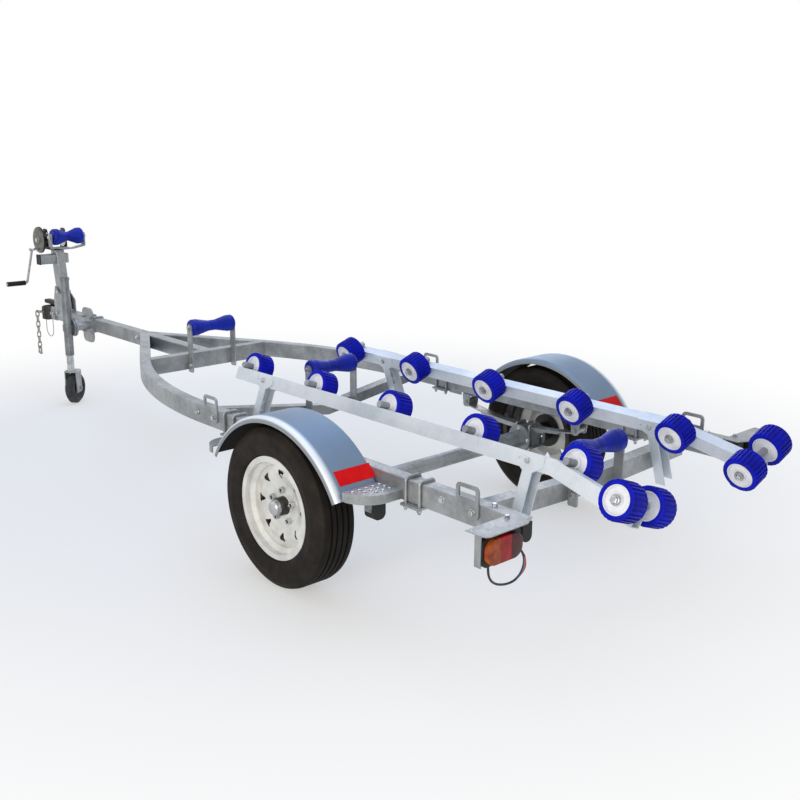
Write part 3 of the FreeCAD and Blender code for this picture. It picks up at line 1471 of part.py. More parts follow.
neck_slope = outline(
    head,
    "neck_slope",
    "XZ_Plane",
    [
        (f"{HEAD_X} - 1", "-1"),
        ("socket_x - 50", "-1"),
        ("socket_x - 62", "12"),
        (f"{HEAD_X} - 1", "12"),
    ],
)
pocket(head, neck_slope, "2 * head_wide")
place(head, "0", "0", COUPLE_LOW)
socket = cylinder("socket_bore", "ball_radius", "socket_deep + 1", ("socket_x", "0", f"{COUPLE_LOW} - 1"))
keep(cut("coupling_hollow", head, socket), "coupling_body")

HANDLE_LOW = "(rail_top + 10)"
HANDLE_X = "(nose_front - 20)"
handle_bar = new_body("handle_bar")
handle_view = outline(
    handle_bar,
    "handle_view",
    "XZ_Plane",
    [
        (f"{HANDLE_X} - handle_long", "0"),
        (HANDLE_X, "0"),
        (HANDLE_X, "handle_thick"),
        (f"{HANDLE_X} - handle_long", "handle_thick"),
    ],
    {index: "handle_thick * 0.4" for index in range(4)},
)
handle_pad = pad(handle_bar, handle_view, "handle_wide")


def sideways_face(edge):
    return min(abs(vertex.Y) for vertex in edge.Vertexes) > 1


round_edges(handle_bar, handle_pad, sideways_face, "handle_thick * 0.2")
place(handle_bar, "0", "0", HANDLE_LOW)
handle_foot = block(
    "handle_foot",
    ("30", "20", "handle_thick / 2"),
    (f"{HEAD_X} + 30", "-10", f"{COUPLE_LOW} + bar_high + 18 + seat_gap"),
)
keep(fuse("coupling_handle_fuse", [handle_bar, handle_foot]), "coupling_handle")

# Jack: a clamp plate bolted round the drawbar, a tube that swings up beside it on a locking disc, a leg that
# slides, a caster fork and its wheel
PLATE_Y = "(bar_wide / 2 + seat_gap + clamp_thick)"
STUB_END = "(jack_y - jack_radius - 8)"
rod = number("ubolt_radius")
clamp_plate = plate(
    "jack_clamp_plate",
    "XZ_Plane",
    [
        ("jack_x - clamp_half", "clamp_low"),
        ("jack_x + clamp_half", "clamp_low"),
        ("jack_x + clamp_half", "clamp_top"),
        ("jack_x - clamp_half", "clamp_top"),
    ],
    "clamp_thick",
    ("0", PLATE_Y, "0"),
    {0: "34", 1: "34", 2: "34", 3: "34"},
)
stub_start = ("jack_x", f"{PLATE_Y} - 1", "jack_pivot")
stub = cylinder("jack_stub", "jack_radius", f"{STUB_END} - {PLATE_Y} + 1", stub_start, "y")
disc_start = ("jack_x", f"{STUB_END} - clamp_thick", "jack_pivot")
disc = cylinder("jack_lock_disc", "lock_radius", "clamp_thick", disc_start, "y")
straps = []
near_y = number(PLATE_Y) + 3 * rod
far_y = -number("bar_wide / 2 + ubolt_radius + 1")
over = number("rail_top + ubolt_radius + 1")
under = number("rail_top - bar_high - ubolt_radius - 1")
for x in (number("jack_x - clamp_half + 20"), number("jack_x + clamp_half - 20")):
    points = [Vector(x, near_y, over), Vector(x, far_y, over), Vector(x, far_y, under), Vector(x, near_y, under)]
    straps.append(bent_bar(points, 2.4 * rod, rod))
jack_straps = made("jack_straps", Part.makeCompound(straps))
keep(fuse("jack_bracket_fuse", [clamp_plate, stub, disc, jack_straps]), "jack_clamp")
outer_tube = cut(
    "jack_tube_hollow",
    fuse(
        "jack_tube_fuse",
        [
            cylinder("jack_outer", "jack_radius", "jack_top - jack_foot", ("jack_x", "jack_y", "jack_foot")),
            cylinder("jack_swivel", "lock_radius - 4", "12", ("jack_x", f"{STUB_END} + seat_gap", "jack_pivot"), "y"),
            cylinder("jack_collar", "jack_radius + 4", "36", ("jack_x", "jack_y", "jack_pivot - 18")),
            cylinder("jack_cap", "jack_radius + 3", "14", ("jack_x", "jack_y", "jack_top")),
        ],
    ),
    cylinder("jack_tube_bore", "leg_radius + run_gap", "jack_top - jack_foot", ("jack_x", "jack_y", "jack_foot - 1")),
)
keep(outer_tube, "jack_tube")
keep(cylinder("jack_inner", "leg_radius", "330", ("jack_x", "jack_y", "leg_foot")), "jack_leg")

fork_body = new_body("jack_fork_body")
fork_top = "(leg_foot - seat_gap)"
fork_profile = outline(
    fork_body,
    "fork_view",
    "YZ_Plane",
    [
        ("-caster_wide / 2 - 9", f"{fork_top} - leg_foot"),
        ("caster_wide / 2 + 9", f"{fork_top} - leg_foot"),
        ("caster_wide / 2 + 9", "caster_radius - 20 - leg_foot"),
        ("caster_wide / 2 + 4", "caster_radius - 20 - leg_foot"),
        ("caster_wide / 2 + 4", "2 * caster_radius + 8 - leg_foot"),
        ("-caster_wide / 2 - 4", "2 * caster_radius + 8 - leg_foot"),
        ("-caster_wide / 2 - 4", "caster_radius - 20 - leg_foot"),
        ("-caster_wide / 2 - 9", "caster_radius - 20 - leg_foot"),
    ],
    {0: "8", 1: "8"},
)
pad(fork_body, fork_profile, "60")
turn(fork_body, Vector(0, 0, 1), "caster_turn")
fork_x = "jack_x - caster_trail / 2 * cos(caster_turn)"
place(fork_body, fork_x, "jack_y - caster_trail / 2 * sin(caster_turn)", "leg_foot")
fork_pin = cylinder("fork_pin", "pin_radius", "caster_wide + 30", ("0", "0", "0"), "y")
pin_turn = Rotation(Vector(0, 0, 1), number("caster_turn")).multiply(AXIS_TURN["y"])
fork_pin.Placement = Placement(Vector(), pin_turn)
place(
    fork_pin,
    "jack_x - caster_trail * cos(caster_turn) + (caster_wide / 2 + 15) * sin(caster_turn)",
    "jack_y - caster_trail * sin(caster_turn) - (caster_wide / 2 + 15) * cos(caster_turn)",
    "caster_radius",
)
keep(fuse("jack_fork_fuse", [fork_body, fork_pin]), "jack_fork")

caster = new_body("jack_wheel_body")
caster_half = [
    ("pin_radius + run_gap", "caster_wide / 2"),
    ("boss_radius", "caster_wide / 2"),
    ("boss_radius + 3", "caster_wide / 2 - 9"),
    ("caster_radius - 32", "caster_wide / 2 - 9"),
    ("caster_radius - 26", "caster_wide / 2"),
    ("caster_radius - 16", "caster_wide / 2"),
    ("caster_radius", "caster_wide / 2 - 14"),
]
other_face = [(radius, f"-({y})") for radius, y in caster_half]
revolve(caster, outline(caster, "caster_section", "XY_Plane", other_face + caster_half[::-1]))
turn(caster, Vector(0, 0, 1), "caster_turn")
place(caster, "jack_x - caster_trail * cos(caster_turn)", "jack_y - caster_trail * sin(caster_turn)", "caster_radius")
keep(caster, "jack_wheel")

# Winch post: a raked box section on the drawbar, cut level at both ends, with plates beside its foot and a cross
# tube through its head
post = new_body("winch_post_body")


def post_view(inset, past):
    half_cut = f"(post_side / 2 - {inset}) / cos(post_rake)"
    low = f"seat_gap - {past}"
    high = f"post_high - rail_top + {past}"
    slant = "tan(post_rake)"
    return [
        (f"({low}) * {slant} - {half_cut}", low),
        (f"({low}) * {slant} + {half_cut}", low),
        (f"({high}) * {slant} + {half_cut}", high),
        (f"({high}) * {slant} - {half_cut}", high),
    ]


def leaning(edge):
    way = edge.tangentAt(edge.FirstParameter)
    return abs(way.z) > 0.5


post_pad = pad(post, outline(post, "post_side_view", "XZ_Plane", post_view("0", "0")), "post_wide")
round_edges(post, post_pad, leaning, "tube_round")
pocket(post, outline(post, "post_bore", "XZ_Plane", post_view("tube_wall", "20")), "post_wide - 2 * tube_wall")
place(post, "post_x", "0", "rail_top")
gusset_y = "bar_wide / 2 + seat_gap + gusset_thick"
gusset_corners = [
    ("post_x - 67", "rail_top - 40"),
    ("post_x + 73", "rail_top - 40"),
    ("post_x + 73", "rail_top + 60"),
    ("post_x + 49", "rail_top + 136"),
    ("post_x - 61", "rail_top + 64"),
]
gussets = [
    plate(f"post_gusset_{word}", "XZ_Plane", gusset_corners, "gusset_thick", ("0", y, "0"), {0: "12", 1: "12"})
    for word, y in (("left", gusset_y), ("right", "-bar_wide / 2 - seat_gap"))
]
shoe = block(
    "post_shoe",
    ("post_side + 34", "bar_wide + 2 * seat_gap + gusset_thick", "gusset_thick"),
    (
        "post_x - post_side / 2 - 17",
        "-bar_wide / 2 - seat_gap - gusset_thick / 2",
        "rail_top + seat_gap",
    ),
)
beams = []
for word, y, reach in (("left", "beam_left", "beam_left"), ("right", "-post_wide / 2 + 1", "beam_right")):
    beam = new_body(f"cross_tube_{word}")
    beam_section = new_sketch(beam, f"cross_tube_{word}_section", "XZ_Plane")
    box_section(beam_section, "beam_deep", "beam_high")
    pad(beam, beam_section, f"{reach} - post_wide / 2 + 1", both_ways=False)
    beam_x = "post_x + (beam_low + beam_high / 2 - rail_top) * tan(post_rake)"
    beams.append(place(beam, beam_x, y, "beam_low + beam_high / 2"))
keep(fuse("winch_post_fuse", [post, shoe] + gussets + beams), "winch_post")

# Winch: two side plates on a base, the drum between them, a dished gear cover and the crank on the left
BASE_LOW = "(post_high + seat_gap)"
BASE_TOP = f"({BASE_LOW} + winch_sheet)"
frame_pieces = [
    block(
        "winch_base",
        ("140", "2 * winch_half + 2 * winch_sheet", "winch_sheet"),
        ("winch_x - 94", "-winch_half - winch_sheet", BASE_LOW),
    )
]
plate_corners = [
    ("winch_x - 44", BASE_LOW),
    ("winch_x + 46", BASE_LOW),
    ("winch_x + 44", "winch_z + 8"),
    ("winch_x + 24", "winch_z + 62"),
    ("winch_x - 24", "winch_z + 62"),
    ("winch_x - 44", "winch_z + 8"),
]
for word, y in (("left", "winch_half + winch_sheet"), ("right", "-winch_half")):
    frame_pieces.append(
        plate(
            f"winch_plate_{word}", "XZ_Plane", plate_corners, "winch_sheet", ("0", y, "0"),
            {2: "20", 3: "14", 4: "14", 5: "20"},
        )
    )
cover = new_body("winch_cover")
cover_section = outline(
    cover,
    "winch_cover_section",
    "XY_Plane",
    [
        ("0", "-cover_thick"),
        ("cover_radius", "-cover_thick"),
        ("cover_radius", "-cover_thick / 2"),
        ("cover_radius * 0.92", "0"),
        ("cover_radius * 0.66", "0"),
        ("cover_radius * 0.58", "-cover_thick / 2"),
        ("cover_radius * 0.3", "-cover_thick / 2"),
        ("cover_radius * 0.24", "0"),
        ("0", "0"),
    ],
)
revolve(cover, cover_section)
frame_pieces.append(place(cover, "winch_x", "cover_near + cover_thick", "winch_z"))
spacer_long = "cover_near - winch_half - winch_sheet + 2"
spacer_spots = (("winch_x", "winch_z + 40"), ("winch_x - 24", "winch_z - 30"), ("winch_x + 24", "winch_z - 30"))
for index, (x, z) in enumerate(spacer_spots):
    frame_pieces.append(
        cylinder(f"winch_spacer_{index}", "9", spacer_long, (x, "winch_half + winch_sheet - 1", z), "y")
    )
frame_pieces.append(
    cylinder("winch_shaft", "drum_bore", "2 * winch_half + 16", ("winch_x", "-winch_half - 8", "winch_z"), "y")
)
keep(fuse("winch_frame_fuse", frame_pieces), "winch_frame")

drum = new_body("winch_drum_body")
drum_half = [
    ("drum_bore + run_gap", "winch_half - 3"),
    ("drum_flange", "winch_half - 3"),
    ("drum_flange", "winch_half - 6"),
    ("drum_radius", "winch_half - 6"),
]
drum_face = [(radius, f"-({y})") for radius, y in drum_half]
revolve(drum, outline(drum, "drum_section", "XY_Plane", drum_face + drum_half[::-1]))
place(drum, "winch_x", "0", "winch_z")
keep(drum, "winch_drum")

# Crank: one bar bent twice, its shaft against the gear cover, a plain grip on its end
shaft_y = number("cover_near + cover_thick + seat_gap")
bar_y = number("crank_side")
crank_bend = 12
shaft_place = Vector(number("crank_x"), 0, number("crank_z"))
grip_place = shaft_place + Vector(number("crank_ahead"), 0, -number("crank_drop"))
out = Vector(0, 1, 0)
grip_start = bar_y + crank_bend + 1
grip_end = grip_start + number("grip_long")
crank_points = [
    shaft_place + out * shaft_y, shaft_place + out * bar_y, grip_place + out * bar_y, grip_place + out * grip_end,
]
keep(made("winch_crank_bar", bent_bar(crank_points, crank_bend, number("crank_radius"))), "winch_crank")
grip = cut(
    "crank_grip_hollow",
    cylinder(
        "crank_grip_bar", "grip_radius", "grip_long",
        ("crank_x + crank_ahead", f"crank_side + {crank_bend + 1}", "crank_z - crank_drop"), "y",
    ),
    cylinder(
        "crank_grip_bore", "crank_radius + run_gap", "grip_long + 2",
        ("crank_x + crank_ahead", f"crank_side + {crank_bend}", "crank_z - crank_drop"), "y",
    ),
)
keep(grip, "crank_grip")

# Bow roller in a yoke bent from flat bar, on an arm that lies on the winch's base
bow = new_body("bow_roller_body")
bow_side = [
    ("pin_radius + run_gap", "bow_half"),
    ("bow_radius - 6", "bow_half"),
    ("bow_radius", "bow_half - 8"),
    ("bow_radius", "bow_half - 30"),
    ("bow_waist", "6"),
]
bow_other = [(radius, f"-({y})") for radius, y in bow_side]
revolve(bow, outline(bow, "bow_section", "XY_Plane", bow_other + bow_side[::-1]))
place(bow, "bow_x", "0", "bow_top")
keep(bow, "bow_roller")
YOKE_IN = "(bow_half + 9)"
yoke_corners = [
    (f"-{YOKE_IN} - yoke_thick", "bow_top + 18"),
    (f"-{YOKE_IN} - yoke_thick", "yoke_low + 12"),
    ("-30", "yoke_low"),
    ("30", "yoke_low"),
    (f"{YOKE_IN} + yoke_thick", "yoke_low + 12"),
    (f"{YOKE_IN} + yoke_thick", "bow_top + 18"),
    (YOKE_IN, "bow_top + 18"),
    (YOKE_IN, "yoke_low + 14 + yoke_thick"),
    ("30", "yoke_low + yoke_thick"),
    ("-30", "yoke_low + yoke_thick"),
    (f"-{YOKE_IN}", "yoke_low + 14 + yoke_thick"),
    (f"-{YOKE_IN}", "bow_top + 18"),
]
yoke = new_body("bow_yoke_body")
yoke_view = outline(yoke, "bow_yoke_view", "YZ_Plane", yoke_corners, {1: "10", 4: "10", 7: "5", 10: "5"})
pad(yoke, yoke_view, "yoke_wide")
place(yoke, "bow_x")
arm_end = "winch_x - 52"
arm_corners = [
    ("bow_x - yoke_wide / 2", "yoke_low"),
    ("winch_x - 106", "yoke_low"),
    ("winch_x - 92", f"{BASE_TOP} + seat_gap"),
    (arm_end, f"{BASE_TOP} + seat_gap"),
    (arm_end, f"{BASE_TOP} + seat_gap + yoke_thick"),
    ("winch_x - 90", f"{BASE_TOP} + seat_gap + yoke_thick"),
    ("winch_x - 104", "yoke_low + yoke_thick"),
    ("bow_x - yoke_wide / 2", "yoke_low + yoke_thick"),
]
arm = plate("bow_arm", "XZ_Plane", arm_corners, "60", ("0", "30", "0"))
bow_pin = cylinder("bow_pin", "pin_radius", f"2 * ({YOKE_IN} + 14)", ("bow_x", f"-{YOKE_IN} - 14", "bow_top"), "y")
keep(fuse("bow_bracket_fuse", [yoke, arm, bow_pin]), "bow_bracket")

# Safety chain: closed links, each turned a quarter from the last
def chain_link(centre, along, roll):
    straight = number("chain_straight")
    bend = number("chain_bend")
    wire = number("chain_wire")
    path = Part.Wire(
        [
            Part.LineSegment(Vector(-straight, bend, 0), Vector(straight, bend, 0)).toShape(),
            Part.Arc(Vector(straight, bend, 0), Vector(straight + bend, 0, 0), Vector(straight, -bend, 0)).toShape(),
            Part.LineSegment(Vector(straight, -bend, 0), Vector(-straight, -bend, 0)).toShape(),
            Part.Arc(Vector(-straight, -bend, 0), Vector(-straight - bend, 0, 0), Vector(-straight, bend, 0)).toShape(),
        ]
    )
    ring = Part.Wire([Part.makeCircle(wire, Vector(-straight, bend, 0), Vector(1, 0, 0))])
    link = path.makePipeShell([ring], True, False)
    spin = Rotation(Vector(1, 0, 0), along).multiply(Rotation(Vector(1, 0, 0), roll))
    link.Placement = Placement(centre, spin)
    return link


chain_x = number("socket_x")
chain_y = number("head_wide / 2")
chain_z = number("rail_top - 38")
staple_bar = 5
staple_out = chain_y + 34
staple_points = [
    Vector(chain_x - 16, chain_y + 0.3, chain_z),
    Vector(chain_x - 16, staple_out, chain_z),
    Vector(chain_x + 16, staple_out, chain_z),
    Vector(chain_x + 16, chain_y + 0.3, chain_z),
]
chain_parts = [bent_bar(staple_points, 10, staple_bar)]
pitch = number("2 * (chain_straight + chain_bend - chain_wire)") - 0.3
first_drop = number("chain_straight + chain_bend - chain_wire") - staple_bar - 0.2
for index in range(7):
    centre = Vector(chain_x, staple_out, chain_z - first_drop - pitch * index)
    chain_parts.append(chain_link(centre, Vector(0, 0, -1), 90 * (index % 2)))
keep(made("safety_chain_links", Part.makeCompound(chain_parts)), "safety_chain")

doc.recompute()

failed = [thing.Name for thing in doc.Objects if "Invalid" in thing.State or "Error" in thing.State]
if failed:
    raise RuntimeError("failed: " + ", ".join(failed))
for node in nodes:
    if node.Shape.isNull() or not node.Shape.isValid():
        raise RuntimeError(node.Label + " has no valid shape")

os.makedirs("parts", exist_ok=True)
for node in nodes:
    node.Shape.exportStep(f"parts/{node.Label}.step")
    print(node.Label, len(node.Shape.Solids), round(node.Shape.Volume / 1000), "cm3")
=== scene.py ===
import json
import math

import bmesh
import bpy
from mathutils import Matrix, Vector


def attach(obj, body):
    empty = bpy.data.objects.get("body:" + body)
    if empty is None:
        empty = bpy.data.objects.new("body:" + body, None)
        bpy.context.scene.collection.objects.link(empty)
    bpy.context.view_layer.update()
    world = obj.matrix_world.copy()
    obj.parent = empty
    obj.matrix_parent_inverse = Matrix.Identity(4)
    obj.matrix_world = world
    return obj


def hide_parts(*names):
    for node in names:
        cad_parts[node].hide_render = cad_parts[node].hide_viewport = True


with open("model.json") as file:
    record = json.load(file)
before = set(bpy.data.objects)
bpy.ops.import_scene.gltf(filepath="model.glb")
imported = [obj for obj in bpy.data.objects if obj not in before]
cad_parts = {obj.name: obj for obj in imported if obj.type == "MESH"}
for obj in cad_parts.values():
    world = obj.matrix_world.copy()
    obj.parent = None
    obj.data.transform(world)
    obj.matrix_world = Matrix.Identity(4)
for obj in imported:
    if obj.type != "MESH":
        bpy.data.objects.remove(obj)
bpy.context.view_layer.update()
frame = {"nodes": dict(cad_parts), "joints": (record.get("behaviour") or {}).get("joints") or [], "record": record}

cadNodes = frame["nodes"]
joints = {joint["child"]: joint for joint in frame["joints"]}
sides = (("left", 1), ("right", -1))


def hexColour(text):
    # sRGB hex to the linear colour that the shaders take
    parts = [int(text[i:i + 2], 16) / 255 for i in (1, 3, 5)]
    linear = [p / 12.92 if p <= 0.04045 else ((p + 0.055) / 1.055) ** 2.4 for p in parts]
    return (*linear, 1.0)


def addNode(tree, kind, settings=None):
    # a setting is named after an input, its number or a property, and its value may be another node's output
    node = tree.nodes.new(kind)
    for name, value in (settings or {}).items():
        if isinstance(value, bpy.types.NodeSocket):
            tree.links.new(value, node.inputs[name])
        elif name == "stops":
            while len(node.color_ramp.elements) < len(value):
                node.color_ramp.elements.new(0.5)
            for element, (spot, colour) in zip(node.color_ramp.elements, value):
                element.position = spot
                element.color = colour
        elif isinstance(name, int) or name in node.inputs:
            node.inputs[name].default_value = value
        else:
            setattr(node, name, value)
    return node


def mathOf(tree, operation, *terms):
    return addNode(tree, "ShaderNodeMath", {"operation": operation, **dict(enumerate(terms))}).outputs["Value"]


def vectorOf(tree, operation, *terms, result="Vector"):
    return addNode(tree, "ShaderNodeVectorMath", {"operation": operation, **dict(enumerate(terms))}).outputs[result]


def noiseOf(tree, spot, millimetres, detail, roughness=0.5):
    settings = {"Scale": patternAt(millimetres), "Detail": detail, "Roughness": roughness, "Vector": spot}
    return addNode(tree, "ShaderNodeTexNoise", settings).outputs["Fac"]


def rampOf(tree, factor, *stops):
    return addNode(tree, "ShaderNodeValToRGB", {"stops": stops, "Fac": factor}).outputs["Color"]


def spreadOf(tree, value, low, high, fromLow=0.0, fromHigh=1.0):
    settings = {"From Min": fromLow, "From Max": fromHigh, "To Min": low, "To Max": high, "Value": value}
    return addNode(tree, "ShaderNodeMapRange", settings).outputs["Result"]


def mixOf(tree, factor, first, second, blend="MIX"):
    settings = {"data_type": "RGBA", "blend_type": blend, 0: factor, 6: first, 7: second}
    return addNode(tree, "ShaderNodeMix", settings).outputs[2]


def bumpOf(tree, height, strength, distance):
    settings = {"Strength": strength, "Distance": distance, "Height": height}
    return addNode(tree, "ShaderNodeBump", settings).outputs["Normal"]


def sidewaysOf(tree, vector):
    # how far a place or a direction reaches out to either side
    return mathOf(tree, "ABSOLUTE", addNode(tree, "ShaderNodeSeparateXYZ", {0: vector}).outputs["Y"])


def newMaterial(name):
    material = bpy.data.materials.new(name)
    material.use_nodes = True
    tree = material.node_tree
    tree.nodes.clear()
    return material, tree


def patternAt(millimetres):
    # a texture scale whose cells or waves are that many millimetres across
    return 1000.0 / millimetres


def finishMaterial(tree, shader):
    addNode(tree, "ShaderNodeOutputMaterial", {"Surface": shader.outputs[0]})


# Hot-dip galvanised steel: dull zinc with frost-like crystals, faintly blotched by weather
def galvanisedSteel(name, look):
    material, tree = newMaterial(name)
    spot = addNode(tree, "ShaderNodeTexCoord").outputs["Object"]
    settings = {"Scale": patternAt(look["spangleMm"]), "Randomness": 1.0, "Vector": spot}
    spangle = addNode(tree, "ShaderNodeTexVoronoi", settings).outputs["Color"]
    crystal = addNode(tree, "ShaderNodeSeparateColor", {"Color": spangle}).outputs
    cloud = noiseOf(tree, spot, look["cloudMm"], 5.0, 0.6)
    grit = noiseOf(tree, spot, look["gritMm"], 3.0)
    base = rampOf(tree, cloud, (0.36, hexColour(look["dark"])), (0.64, hexColour(look["pale"])))
    relief = mathOf(tree, "MULTIPLY_ADD", grit, 0.35, crystal["Red"])
    shader = addNode(tree, "ShaderNodeBsdfPrincipled", {
        "Metallic": look["metallic"],
        "Base Color": mixOf(tree, look["spangleShow"], base, crystal["Red"], "OVERLAY"),
        "Roughness": spreadOf(tree, crystal["Green"], look["roughLow"], look["roughHigh"]),
        "Normal": bumpOf(tree, relief, look["bump"], 0.0004),
    })
    finishMaterial(tree, shader)
    return material


# Rolled zinc sheet: a crown whose blue-grey is a painted sky reflection, a painted highlight along the rolled edge,
# painted shade on the lip where it faces sideways, and near black on the inside, which is where the surface looks back
# at the wheel
def rolledSheet(name, look):
    material, tree = newMaterial(name)
    spots = addNode(tree, "ShaderNodeTexCoord")
    spot, faces = spots.outputs["Object"], spots.outputs["Normal"]
    cloud = noiseOf(tree, spot, look["cloudMm"], 4.0)
    # the blue-grey of the crown is a painted sky reflection
    base = rampOf(tree, cloud, (0.3, hexColour(look["dark"])), (0.7, hexColour(look["pale"])))
    # painted highlight: a near-white band where the sheet rolls over at its outer edge
    paintedEdgeHighlight = spreadOf(tree, sidewaysOf(tree, spot), 0.0, 1.0, look["edgeFrom"], look["edgeTo"])
    withEdgeHighlight = mixOf(tree, paintedEdgeHighlight, base, hexColour(look["edge"]))
    # painted shade: faces that look sideways take the lip's duller grey
    paintedLipShade = spreadOf(tree, sidewaysOf(tree, faces), 0.0, 1.0, look["lipFrom"], look["lipTo"])
    lipped = mixOf(tree, paintedLipShade, withEdgeHighlight, hexColour(look["lip"]))
    outward = vectorOf(tree, "MULTIPLY", vectorOf(tree, "SUBTRACT", spot, look["crown"]), (1, 0.3, 1))
    facesOut = vectorOf(tree, "DOT_PRODUCT", outward, faces, result="Value")
    within = mathOf(tree, "LESS_THAN", facesOut, -0.2)
    shader = addNode(tree, "ShaderNodeBsdfPrincipled", {
        "Base Color": mixOf(tree, within, lipped, hexColour(look["darkInner"])),
        "Metallic": mathOf(tree, "MULTIPLY_ADD", within, -look["metallic"], look["metallic"]),
        "Roughness": spreadOf(tree, within, look["rough"], look["innerRough"]),
        "Normal": bumpOf(tree, noiseOf(tree, spot, look["gritMm"], 3.0), look["bump"], 0.0004),
    })
    finishMaterial(tree, shader)
    return material


# Moulded or painted skin: one colour, faint mottling and a fine grain in the surface
def mouldedSkin(name, look):
    material, tree = newMaterial(name)
    spot = addNode(tree, "ShaderNodeTexCoord").outputs["Object"]
    cloud = noiseOf(tree, spot, look["cloudMm"], 4.0)
    grain = noiseOf(tree, spot, look["grainMm"], 2.0)
    shader = addNode(tree, "ShaderNodeBsdfPrincipled", {
        "Metallic": look.get("metallic", 0.0),
        "Specular IOR Level": look.get("gloss", 0.5),
        "Coat Weight": look.get("coat", 0.0),
        "Coat Roughness": 0.12,
        "Base Color": rampOf(tree, cloud, (0.35, hexColour(look["dark"])), (0.66, hexColour(look["pale"]))),
        "Roughness": spreadOf(tree, cloud, look["roughLow"], look["roughHigh"]),
        "Normal": bumpOf(tree, grain, look["bump"], 0.0003),
    })
    finishMaterial(tree, shader)
    return material


# Tyre: dusty black rubber with rings pressed in the sidewall and fine sipes across the tread
def tyreRubber(name, look):
    material, tree = newMaterial(name)
    spot = addNode(tree, "ShaderNodeTexCoord").outputs["Object"]
    spoke = vectorOf(tree, "MULTIPLY", vectorOf(tree, "SUBTRACT", spot, look["hub"]), (1, 0, 1))
    radius = vectorOf(tree, "LENGTH", spoke, result="Value")
    parts = addNode(tree, "ShaderNodeSeparateXYZ", {"Vector": spoke}).outputs
    angle = mathOf(tree, "ARCTAN2", parts["Z"], parts["X"])
    sipe = mathOf(tree, "SINE", mathOf(tree, "MULTIPLY", angle, float(look["sipes"])))
    onTread = mathOf(tree, "GREATER_THAN", radius, look["treadFrom"])
    sipeDepth = mathOf(tree, "MULTIPLY", mathOf(tree, "GREATER_THAN", sipe, look["sipeEdge"]), onTread)
    along = spreadOf(tree, radius, 0.0, 1.0, look["bead"], look["crown"])
    rings = rampOf(tree, along, *[(mark, (grey, grey, grey, 1)) for mark, grey in look["rings"]])
    relief = mathOf(tree, "MULTIPLY_ADD", noiseOf(tree, spot, look["grainMm"], 2.0), 0.12, rings)
    cloud = noiseOf(tree, spot, look["cloudMm"], 5.0, 0.65)
    base = rampOf(tree, cloud, (0.34, hexColour(look["dark"])), (0.68, hexColour(look["dust"])))
    worn = mixOf(tree, 0.5, base, hexColour(look["worn"]), "MULTIPLY")
    shader = addNode(tree, "ShaderNodeBsdfPrincipled", {
        "Roughness": look["rough"],
        "Specular IOR Level": look["gloss"],
        "Base Color": mixOf(tree, onTread, base, worn),
        "Normal": bumpOf(tree, mathOf(tree, "SUBTRACT", relief, sipeDepth), look["bump"], 0.0012),
    })
    finishMaterial(tree, shader)
    return material


# Wheel: silver lacquer on the face, with painted shade in the vents and on the barrel behind the disc
def wheelLacquer(name, look):
    material, tree = newMaterial(name)
    spots = addNode(tree, "ShaderNodeTexCoord")
    spot, faces = spots.outputs["Object"], spots.outputs["Normal"]
    # painted shade: the barrel behind the disc and the walls of the vents turn dark, so the vents look into shadow
    behind = spreadOf(tree, sidewaysOf(tree, spot), 1.0, 0.0, look["discBack"], look["discFace"])
    spoke = vectorOf(tree, "MULTIPLY", vectorOf(tree, "SUBTRACT", spot, look["hub"]), (1, 0, 1))
    onDisc = mathOf(tree, "LESS_THAN", vectorOf(tree, "LENGTH", spoke, result="Value"), look["discRadius"])
    cutWall = mathOf(tree, "LESS_THAN", sidewaysOf(tree, faces), 0.6)
    paintedShade = mathOf(tree, "MAXIMUM", behind, mathOf(tree, "MULTIPLY", onDisc, cutWall))
    cloud = noiseOf(tree, spot, look["cloudMm"], 5.0)
    face = rampOf(tree, cloud, (0.34, hexColour(look["dull"])), (0.66, hexColour(look["silver"])))
    shader = addNode(tree, "ShaderNodeBsdfPrincipled", {
        "Metallic": look["metallic"],
        "Coat Weight": look["coat"],
        "Coat Roughness": 0.15,
        "Base Color": mixOf(tree, paintedShade, face, hexColour(look["darkInner"])),
        "Roughness": spreadOf(tree, cloud, look["roughLow"], look["roughHigh"]),
        "Normal": bumpOf(tree, noiseOf(tree, spot, look["grainMm"], 2.0), look["bump"], 0.0003),
    })
    finishMaterial(tree, shader)
    return material


